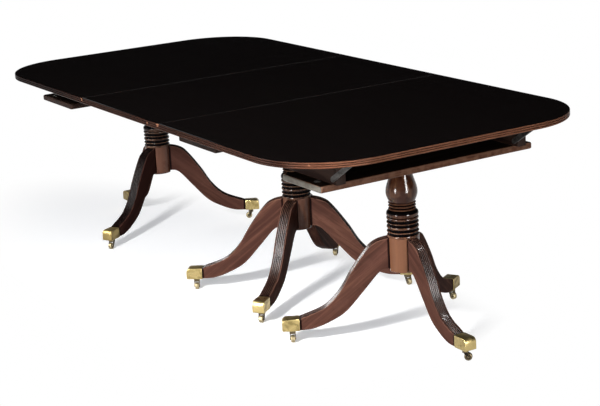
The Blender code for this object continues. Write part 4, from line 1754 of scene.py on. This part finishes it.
@dataclass
class SabreLeg:
    """A leg with a reeded upper face, from its seat on the column to the toe cap."""

    thickness: float = 0.042
    seat_radius: float = 0.0493
    seat_bottom: float = 0.242
    seat_top: float = 0.351
    foot_bottom: float = 0.0435
    foot_top: float = 0.0825
    cap_back: float = 0.0253
    arris: float = 0.0016
    fillet: float = 0.0022
    reed_count: int = 5
    reed_depth: float = 0.0032
    reed_steps: int = 8
    lower_arris: float = 0.0020
    lower_cut: float = 0.3
    lower_flat: float = 3.0
    upper_flat: float = 3.2
    arris_steps: int = 3
    # Painted shade along the lower arris and beside the reeds.
    lower_arris_shade: float = 0.3
    lower_corner_shade: float = 0.5
    fillet_shade: float = 0.7
    reed_start: float = 0.0003
    # Painted highlight: how much paler each reed's crown is left.
    crown_highlight: float = 0.35
    reed_shade_limit: float = 0.6
    end_margin: float = 0.0005
    crest_angle: float = 26.0
    stations: int = 46
    # Painted shade laid over whole legs: the left pedestal's and the right outer leg.
    side_shade: ClassVar[dict[str, float]] = {
        "left_outer": 0.55,
        "left_near": 0.88,
        "left_far": 0.40,
        "right_outer": 0.38,
    }
    upper_edge: tuple[Point, ...] = (
        (0.12, 0.966),
        (0.217, 0.895),
        (0.418, 0.581),
        (0.554, 0.322),
        (0.718, 0.135),
    )
    lower_edge: tuple[Point, ...] = (
        (0.07, 0.995),
        (0.136, 0.929),
        (0.303, 0.621),
        (0.502, 0.278),
        (0.70, 0.101),
        (0.86, 0.015),
    )

    def half_section(self) -> list[tuple[float, float, bool, float]]:
        """Half a cross section from the lower middle up one side to the first reed.

        Returns:
            For each point: distance from the side, distance from its edge, whether that is the upper edge, and
            its painted shade.
        """
        low, rise = self.lower_arris, self.arris
        cut, flat = low * self.lower_cut, low * self.lower_flat
        points = [(flat, 0.0, False, 0.0), (low, 0.0, False, self.lower_arris_shade)]
        points += [(cut, cut, False, self.lower_corner_shade), (0.0, low, False, self.lower_arris_shade)]
        points += [(0.0, flat, False, 0.0), (0.0, rise * self.upper_flat, True, 0.0)]
        for step in range(self.arris_steps + 1):
            angle = math.pi / 2 * step / self.arris_steps
            points.append((rise * (1 - math.cos(angle)), rise * (1 - math.sin(angle)), True, 0.0))
        points.append((rise + self.fillet, 0.0, True, self.fillet_shade))
        return points

    def section(self) -> list[tuple[float, float, bool, float]]:
        """A whole cross section, up one side, over the reeds and down the other side.

        Returns:
            For each point: Y, distance from its edge, whether that is the upper edge, and painted shade.
        """
        half = self.thickness / 2
        side = self.half_section()
        points = [(away - half, depth, upper, stain_and_painted_light) for away, depth, upper, stain_and_painted_light in side]
        start = self.arris + self.fillet + self.reed_start - half
        pitch = -2 * start / self.reed_count
        for number in range(self.reed_count):
            for step in range(self.reed_steps + (number == self.reed_count - 1)):
                share = step / self.reed_steps
                swell = math.sin(share * math.pi)
                # The reeds take painted shade, paler towards each crown as a painted highlight line.
                depth, stain_and_painted_light = self.reed_depth * (1 - swell), 1.0 - self.crown_highlight * swell
                points.append((start + pitch * (number + share), depth, True, stain_and_painted_light))
        points += [(half - away, depth, upper, stain_and_painted_light) for away, depth, upper, stain_and_painted_light in reversed(side)]
        return points

    def edge(self, shape: tuple[Point, ...], start: Point, end: Point) -> list[Vector]:
        """Points along one edge of the leg, in X and Z.

        Args:
            shape: points on the way, in shares of the run and of the rise.
            start: where it leaves the column.
            end: where it meets the cap.

        Returns:
            The points.
        """
        run, rise = end[0] - start[0], start[1] - end[1]
        on_the_way = [(start[0] + run * x, end[1] + rise * z) for x, z in shape]
        return smooth_path([start, *on_the_way, end], self.stations)

    def master(self, reach: float) -> bpy.types.Object:
        """A leg along +X, about its column's axis.

        Args:
            reach: from the column's axis to the caster's.

        Returns:
            The piece.
        """
        start, end = self.seat_radius, reach - self.cap_back
        tops = self.edge(self.upper_edge, (start, self.seat_top), (end, self.foot_top))
        bottoms = self.edge(self.lower_edge, (start, self.seat_bottom), (end, self.foot_bottom))
        section = self.section()
        rings = []
        for top, bottom in zip(tops, bottoms, strict=True):
            up = (top - bottom).normalized()
            ring = []
            for y, depth, upper, _painted_shade in section:
                spot = top - up * depth if upper else bottom + up * depth
                ring.append(Vector((clamped(spot.x, start, end), y, spot.y)))
            rings.append(ring)
        piece = drawn_out("sabre_leg", rings, [stain_and_painted_light for *_rest, stain_and_painted_light in section])
        mark_grain(piece, GrainRun.DOWN_THE_LEG, Vector())
        mark_crests(piece, self.crest_angle)
        for vert, crest in zip(piece.data.vertices, piece.data.attributes["crest"].data, strict=True):
            if not start + self.end_margin <= vert.co.x <= end - self.end_margin:
                crest.value = -1.0
        leg_shades = piece.data.attributes["stain_and_painted_light"].data
        # Faces of the shaded reeds take the shaded reeding finish.
        for face in piece.data.polygons:
            lightest = min(leg_shades[index].value for index in face.vertices)
            face.material_index = int(lightest > self.reed_shade_limit)
        return piece

    def build(self, wardrobe: Wardrobe) -> None:
        """The ten legs, each a copy of the one with its reach.

        Args:
            wardrobe: the finishes.
        """
        masters: dict[float, bpy.types.Object] = {}
        for number, side, leg, angle in every_leg():
            reach = reach_of(side, leg)
            if reach not in masters:
                masters[reach] = self.master(reach)
            place = Matrix.Translation((COLUMN_X[side], 0, 0)) @ Matrix.Rotation(angle, 4, "Z")
            piece = copied(masters[reach], f"sabre_leg_{side}_{leg}", place, number)
            # Painted shade over the whole of the legs listed in side_shade.
            for stain_and_painted_light in piece.data.attributes["stain_and_painted_light"].data:
                stain_and_painted_light.value = max(stain_and_painted_light.value, self.side_shade.get(f"{side}_{leg}", 0.0))
            # The left pedestal's reeds take the darker painted-shade reeding.
            reeding = SHADED_LEFT_REEDING if side == "left" else SHADED_LEG_REEDING
            wardrobe.dress(piece, f"leg_{side}_{leg}", Slot.MAHOGANY, LEG_MAHOGANY, reeding)
        for master in masters.values():
            bpy.data.objects.remove(master, do_unlink=True)


@dataclass
class Feet:
    """Brass toe caps, and the casters under them."""

    caster_height: float = 0.042
    cap_back: float = 0.025
    cap_toe: float = 0.035
    cap_height: float = 0.042
    cap_width: float = 0.045
    toe_radius: float = 0.016
    sole_radius: float = 0.004
    cap_rounding: float = 0.0018
    sole_steps: int = 4
    toe_steps: int = 12
    cap_steps: int = 3
    socket_depth: float = 0.0163
    pintle_radius: float = 0.004
    pintle_length: float = 0.016
    pintle_ease: float = 0.0005
    plate_radius: float = 0.0115
    plate_thickness: float = 0.004
    plate_ease: float = 0.0008
    plate_rounding: float = 0.0012
    plate_steps: int = 32
    trail: float = 0.012
    wheel_radius: float = 0.0135
    wheel_half: float = 0.007
    axle_height: float = 0.013241
    axle_radius: float = 0.003
    cheek_inner: float = 0.0076
    cheek_thickness: float = 0.003
    boss_radius: float = 0.0055
    crown_width: float = 0.012
    crown_drop: float = 0.0090
    crown_rise: float = 0.001
    crown_rounding: float = 0.0006
    cheek_rise: float = 0.002
    cheek_rounding: float = 0.0007
    rounding_steps: int = 2
    rivet_share: float = 0.9
    rivet_end: tuple[Point, ...] = ((0.0, 0.0008), (0.6, 0.0007), (1.0, 0.0002), (1.0, -0.001))
    rivet_steps: int = 24
    wheel_flats: int = 16
    roller_recess: float = 0.0012
    roller_side: tuple[Triple, ...] = (
        (0.52, 0.0, 0.0012),
        (0.60, 0.0, 0.0),
        (0.80, 0.0, 0.0),
        (1.0, 0.0010, 0.0006),
        (1.0, 0.0003, 0.0016),
        (1.0, 0.0, 0.003),
    )
    roller_steps: int = 48
    # Caps that take the dulled brass: tarnish, and painted shade.
    dull_and_shaded_caps: tuple[str, ...] = ("right_far", "left_outer", "left_near")
    dark_rollers: tuple[str, ...] = ("right_outer",)

    def cap(self) -> bpy.types.Object:
        """A box cap about its caster's axis, toe along +X.

        Returns:
            The piece.
        """
        low, high = self.caster_height, self.caster_height + self.cap_height
        sole_centre = (self.cap_toe - self.sole_radius, low + self.sole_radius)
        sole = arc(sole_centre, self.sole_radius, -90, 0, self.sole_steps)
        toe_centre = (self.cap_toe - self.toe_radius, high - self.toe_radius)
        toe = arc(toe_centre, self.toe_radius, 0, 90, self.toe_steps)
        outline = [(-self.cap_back, low), *sole, *toe, (-self.cap_back, high)]
        half = self.cap_width / 2
        piece = slab("toe_cap", outline, -half, half, self.cap_rounding, self.cap_steps)
        piece.data.transform(UPRIGHT)
        socket = rod("socket", self.pintle_radius + CLEARANCE, self.socket_depth, self.plate_steps)
        socket.data.transform(Matrix.Translation((0, 0, low)))
        combined(piece, socket, "DIFFERENCE")
        return piece

    def horn(self) -> bpy.types.Object:
        """A caster horn about its swivel axis, trailing along +X: plate, pintle, cheeks, crown and axle.

        Returns:
            The piece.
        """
        top = self.caster_height - CLEARANCE
        low = top - self.plate_thickness
        tip = top + self.pintle_length
        r, p = self.plate_radius, self.pintle_radius
        plate = [(0.0, tip), (p - self.pintle_ease, tip), (p, tip - self.pintle_ease), (p, top)]
        plate += [(r - self.plate_ease, top), (r, top - self.plate_ease)]
        plate += [(r, low + self.plate_rounding), (r - self.plate_rounding, low), (0.0, low)]
        piece = turned("caster_horn", plate, self.plate_steps)
        half = self.crown_width / 2
        boss = circle((self.trail, self.axle_height), self.boss_radius)
        neck = [(x, z) for x in (-half, half) for z in (low - self.cheek_rise, low + self.cheek_rise)]
        outline = hull_outline([*boss, *neck])
        outer = self.cheek_inner + self.cheek_thickness
        for inner_y, outer_y in ((self.cheek_inner, outer), (-outer, -self.cheek_inner)):
            cheek = slab("cheek", outline, inner_y, outer_y, self.cheek_rounding, self.rounding_steps)
            cheek.data.transform(UPRIGHT)
            combined(piece, cheek, "UNION")
        corners = [(-half, -outer), (self.trail, -outer), (self.trail, outer), (-half, outer)]
        ends = (low - self.crown_drop, low + self.crown_rise)
        combined(piece, slab("crown", corners, *ends, self.crown_rounding, self.rounding_steps), "UNION")
        head = self.axle_radius * self.rivet_share
        axle = [(head * out, outer + up) for out, up in self.rivet_end]
        axle += [(x, -z) for x, z in reversed(axle)]
        rivet = turned("axle", axle, self.rivet_steps)
        rivet.data.transform(Matrix.Translation((self.trail, 0, self.axle_height)) @ UPRIGHT)
        combined(piece, rivet, "UNION")
        return piece

    def roller(self) -> bpy.types.Object:
        """A caster roller about its axle, which lies along Y through the origin, as thick as its solid's flats.

        Returns:
            The piece.
        """
        r, half = self.wheel_radius * math.cos(math.pi / self.wheel_flats), self.wheel_half
        side = [(self.axle_radius + CLEARANCE, half - self.roller_recess)]
        side += [(r * share - inset, half - drop) for share, inset, drop in self.roller_side]
        profile = [*side, (r, 0.0), *((x, -z) for x, z in reversed(side))]
        piece = turned("caster_roller", profile, self.roller_steps)
        piece.data.transform(UPRIGHT)
        return piece

    def build(self, wardrobe: Wardrobe) -> None:
        """Ten feet, each with a cap, a horn and a roller.

        Args:
            wardrobe: the finishes.
        """
        masters = {"cap": self.cap(), "horn": self.horn(), "roller": self.roller()}
        for master in masters.values():
            mark_crests(master)
        for number, side, leg, angle in every_leg():
            foot = f"{side}_{leg}"
            reach = reach_of(side, leg)
            spot = Vector((COLUMN_X[side] + reach * math.cos(angle), reach * math.sin(angle), 0))
            heading = math.radians(CASTER_HEADINGS[foot])
            facing = Matrix.Translation(spot) @ Matrix.Rotation(angle, 4, "Z")
            trailing = Matrix.Translation(spot) @ Matrix.Rotation(heading, 4, "Z")
            on_axle = trailing @ Matrix.Translation((self.trail, 0, self.axle_height))
            cap = copied(masters["cap"], f"brass_cap_{foot}", facing, number)
            cap_finish = DULL_AND_SHADED_CAP_BRASS if foot in self.dull_and_shaded_caps else CAP_BRASS
            wardrobe.dress(cap, f"toe_cap_{foot}", Slot.BRASS, cap_finish)
            horn = copied(masters["horn"], f"caster_horn_{foot}", trailing, number)
            wardrobe.dress(horn, f"caster_fork_{foot}", Slot.DARK_BRASS, HORN_BRASS)
            roller = copied(masters["roller"], f"caster_roller_{foot}", on_axle, number)
            roller_finish = HORN_BRASS if foot in self.dark_rollers else ROLLER_BRASS
            wardrobe.dress(roller, f"caster_wheel_{foot}", Slot.BRASS, roller_finish)
        for master in masters.values():
            bpy.data.objects.remove(master, do_unlink=True)


@dataclass(frozen=True)
class Lamp:
    """A rectangular soft light; one that is there for shine alone shows only in polished surfaces."""

    name: str
    place: Triple
    aim: Triple
    size: Point
    power: float
    shine_only: bool = False

    def hang(self) -> None:
        """Put the lamp in the scene."""
        data = bpy.data.lights.new(self.name, "AREA")
        data.shape = "RECTANGLE"
        data.size, data.size_y = self.size
        data.energy = self.power
        light = bpy.data.objects.new(self.name, data)
        light.location = self.place
        light.rotation_mode = "QUATERNION"
        light.rotation_quaternion = (Vector(self.aim) - Vector(self.place)).to_track_quat("-Z", "Y")
        light.visible_camera = False
        light.visible_diffuse = not self.shine_only
        bpy.context.scene.collection.objects.link(light)


WHITE = (1, 1, 1, 1)
TABLE_MIDDLE = (0.2, 0.0, 0.35)
LAMPS = (
    Lamp("key_softbox", (1.45, -2.75, 2.05), TABLE_MIDDLE, (0.36, 0.30), 137.0),
    Lamp("right_strip", (3.3, 0.15, 0.65), (0.9, 0.0, 0.45), (0.14, 1.1), 13.0),
    Lamp("left_strip", (1.5, -3.05, 0.65), (0.9, 0.0, 0.4), (0.16, 1.1), 30.0),
    Lamp("right_screen", (6.44, 0.42, 1.65), TABLE_MIDDLE, (1.03, 3.3), 640.0, shine_only=True),
    Lamp("left_screen", (1.73, -5.87, 1.65), TABLE_MIDDLE, (1.03, 3.3), 385.0, shine_only=True),
    Lamp("high_screen", (-2.5, -4.02, 3.65), TABLE_MIDDLE, (2.85, 2.85), 610.0, shine_only=True),
)


@dataclass
class Studio:
    """A pale floor, soft lights and the camera."""

    camera_place: Triple = (4.9617, -2.8362, 1.8329)
    yaw: float = -1.0283356
    pitch: float = 0.2670497
    roll: float = -0.0569419
    lens: float = 91.931
    sensor: float = 36.0
    clip_end: float = 200.0
    floor_radius: float = 80.0
    floor_points: int = 128
    floor_colour: Colour = (0.90, 0.90, 0.90)
    floor_glow: Colour = (0.325, 0.333, 0.350)
    floor_bounce: Colour = (0.06, 0.06, 0.06)
    fade_shift: Triple = (0.14, 0.17, 0.0)
    fade_stretch: Triple = (0.33, 1.0, 1.0)
    fade_range: Point = (0.34, 0.68)
    right_fade: tuple[float, float, float, float] = (1.0, 1.3, 0.0, 0.3)
    horizon: Point = (0.080, 0.135)
    dim_room: Colour = (0.010, 0.010, 0.010)
    wall_stretch: Triple = (1.0, 1.0, 2.0)
    wall_spread: Point = (0.5, 0.98)
    wall_direction: Triple = (0.62, -0.78, 0.02)
    wall_light: float = 3.5
    back_direction: Triple = (-0.85, 0.52, 0.06)
    back_light: float = 3.0
    room_light: float = 0.012

    def camera(self) -> None:
        """The camera at the photograph's place, turn and lens."""
        forward = Vector(
            (
                math.sin(self.yaw) * math.cos(self.pitch),
                math.cos(self.yaw) * math.cos(self.pitch),
                -math.sin(self.pitch),
            )
        )
        level = Vector((math.cos(self.yaw), -math.sin(self.yaw), 0.0))
        upright = level.cross(forward)
        right = level * math.cos(self.roll) + upright * math.sin(self.roll)
        up = upright * math.cos(self.roll) - level * math.sin(self.roll)
        data = bpy.data.cameras.new("view")
        data.lens = self.lens
        data.sensor_width = self.sensor
        data.sensor_fit = "HORIZONTAL"
        data.clip_end = self.clip_end
        camera = bpy.data.objects.new("view", data)
        turn = Matrix((right, up, -forward)).transposed()
        camera.matrix_world = Matrix.Translation(self.camera_place) @ turn.to_4x4()
        bpy.context.scene.collection.objects.link(camera)
        bpy.context.scene.camera = camera

    def seen(self, plan: NodePlan) -> bpy.types.NodeSocket:
        """A mask of the rays that show the background: camera, glossy and transmission rays.

        Args:
            plan: the node tree.

        Returns:
            The mask's socket.
        """
        path = plan.add("ShaderNodeLightPath").outputs
        shown = plan.maths("ADD", path["Is Camera Ray"], path["Is Glossy Ray"], clamp=True)
        return plan.maths("ADD", shown, path["Is Transmission Ray"], clamp=True)

    def floor(self) -> None:
        """A pale floor that fades to white away from the table and keeps its shadow."""
        bpy.ops.object.select_all(action="DESELECT")
        bpy.ops.mesh.primitive_circle_add(vertices=self.floor_points, radius=self.floor_radius, fill_type="NGON")
        floor = bpy.context.object
        floor.name = "floor"
        material = bpy.data.materials.new("pale_floor")
        material.use_nodes = True
        plan = NodePlan(material.node_tree)
        material.node_tree.nodes.remove(material.node_tree.nodes["Principled BSDF"])
        output = material.node_tree.nodes["Material Output"]
        matt = plan.add("ShaderNodeBsdfDiffuse", {"Color": (*self.floor_colour, 1)})
        glow = plan.add("ShaderNodeEmission", {"Color": (*self.floor_glow, 1), "Strength": 1.0})
        near = plan.add("ShaderNodeAddShader", {0: matt.outputs[0], 1: glow.outputs[0]})
        white = plan.add("ShaderNodeEmission", {"Color": WHITE, "Strength": 1.0})
        place = plan.add("ShaderNodeTexCoord").outputs["Object"]
        shifted = plan.vector_maths("ADD", place, self.fade_shift)
        away = plan.vector_maths("LENGTH", plan.vector_maths("MULTIPLY", shifted, self.fade_stretch))
        along = plan.add("ShaderNodeSeparateXYZ", {0: place}).outputs["X"]
        away = plan.maths("ADD", away, plan.between(along, *self.right_fade))
        faded = plan.between(away, *self.fade_range)
        shown = plan.add("ShaderNodeMixShader", {0: faded, 1: near.outputs[0], 2: white.outputs[0]})
        plain = plan.add("ShaderNodeBsdfDiffuse", {"Color": (*self.floor_bounce, 1)})
        mix = plan.add("ShaderNodeMixShader", {0: self.seen(plan), 1: plain.outputs[0], 2: shown.outputs[0]})
        plan.fill(output.inputs, {"Surface": mix.outputs[0]})
        floor.data.materials.append(material)

    def wall(
        self, plan: NodePlan, look: bpy.types.NodeSocket, direction: Triple, low: float, high: float
    ) -> bpy.types.NodeSocket:
        """A wide soft wall of light.

        Args:
            plan: the world's node tree.
            look: where a ray goes.
            direction: where the wall stands.
            low: light from away from the wall.
            high: light from its middle.

        Returns:
            The socket of the light's strength.
        """
        facing = plan.vector_maths("DOT_PRODUCT", look, direction)
        return plan.between(facing, *self.wall_spread, low, high)

    def surroundings(self) -> None:
        """White low down, where the background shows, with a dim room above it; two soft walls light the table."""
        world = bpy.data.worlds.new("studio")
        bpy.context.scene.world = world
        world.use_nodes = True
        plan = NodePlan(world.node_tree)
        backdrop = world.node_tree.nodes["Background"]
        output = world.node_tree.nodes["World Output"]
        direction = plan.add("ShaderNodeTexCoord").outputs["Generated"]
        height = plan.add("ShaderNodeSeparateXYZ", {0: direction}).outputs["Z"]
        room = plan.mixed(plan.between(height, *self.horizon), WHITE, (*self.dim_room, 1))
        plan.fill(backdrop.inputs, {"Color": room})
        look = plan.vector_maths("NORMALIZE", plan.vector_maths("MULTIPLY", direction, self.wall_stretch))
        front = self.wall(plan, look, self.wall_direction, self.room_light, self.wall_light)
        back = self.wall(plan, look, self.back_direction, 0.0, self.back_light)
        soft = plan.add("ShaderNodeBackground", {"Color": WHITE, "Strength": plan.maths("ADD", front, back)})
        mix = plan.add("ShaderNodeMixShader", {0: self.seen(plan), 1: soft.outputs[0], 2: backdrop.outputs[0]})
        plan.fill(output.inputs, {"Surface": mix.outputs[0]})

    def build(self) -> None:
        """Camera, floor, surroundings and lights."""
        bpy.context.scene.view_settings.view_transform = "Standard"
        self.camera()
        self.floor()
        self.surroundings()
        for lamp in LAMPS:
            lamp.hang()


def main() -> None:
    """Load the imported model, set the stage, dress every piece and report it."""
    logging.basicConfig(level=logging.INFO, format="%(name)s: %(message)s")
    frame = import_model()
    Studio().build()
    wardrobe = Wardrobe(frame)
    for assembly in (TableTop(), Undercarriage(), HingeStraps(), TurnedColumn(), SabreLeg(), Feet()):
        assembly.build(wardrobe)
    for note in wardrobe.notes:
        LOG.info("%s", note)


if __name__ == "__main__":
    main()
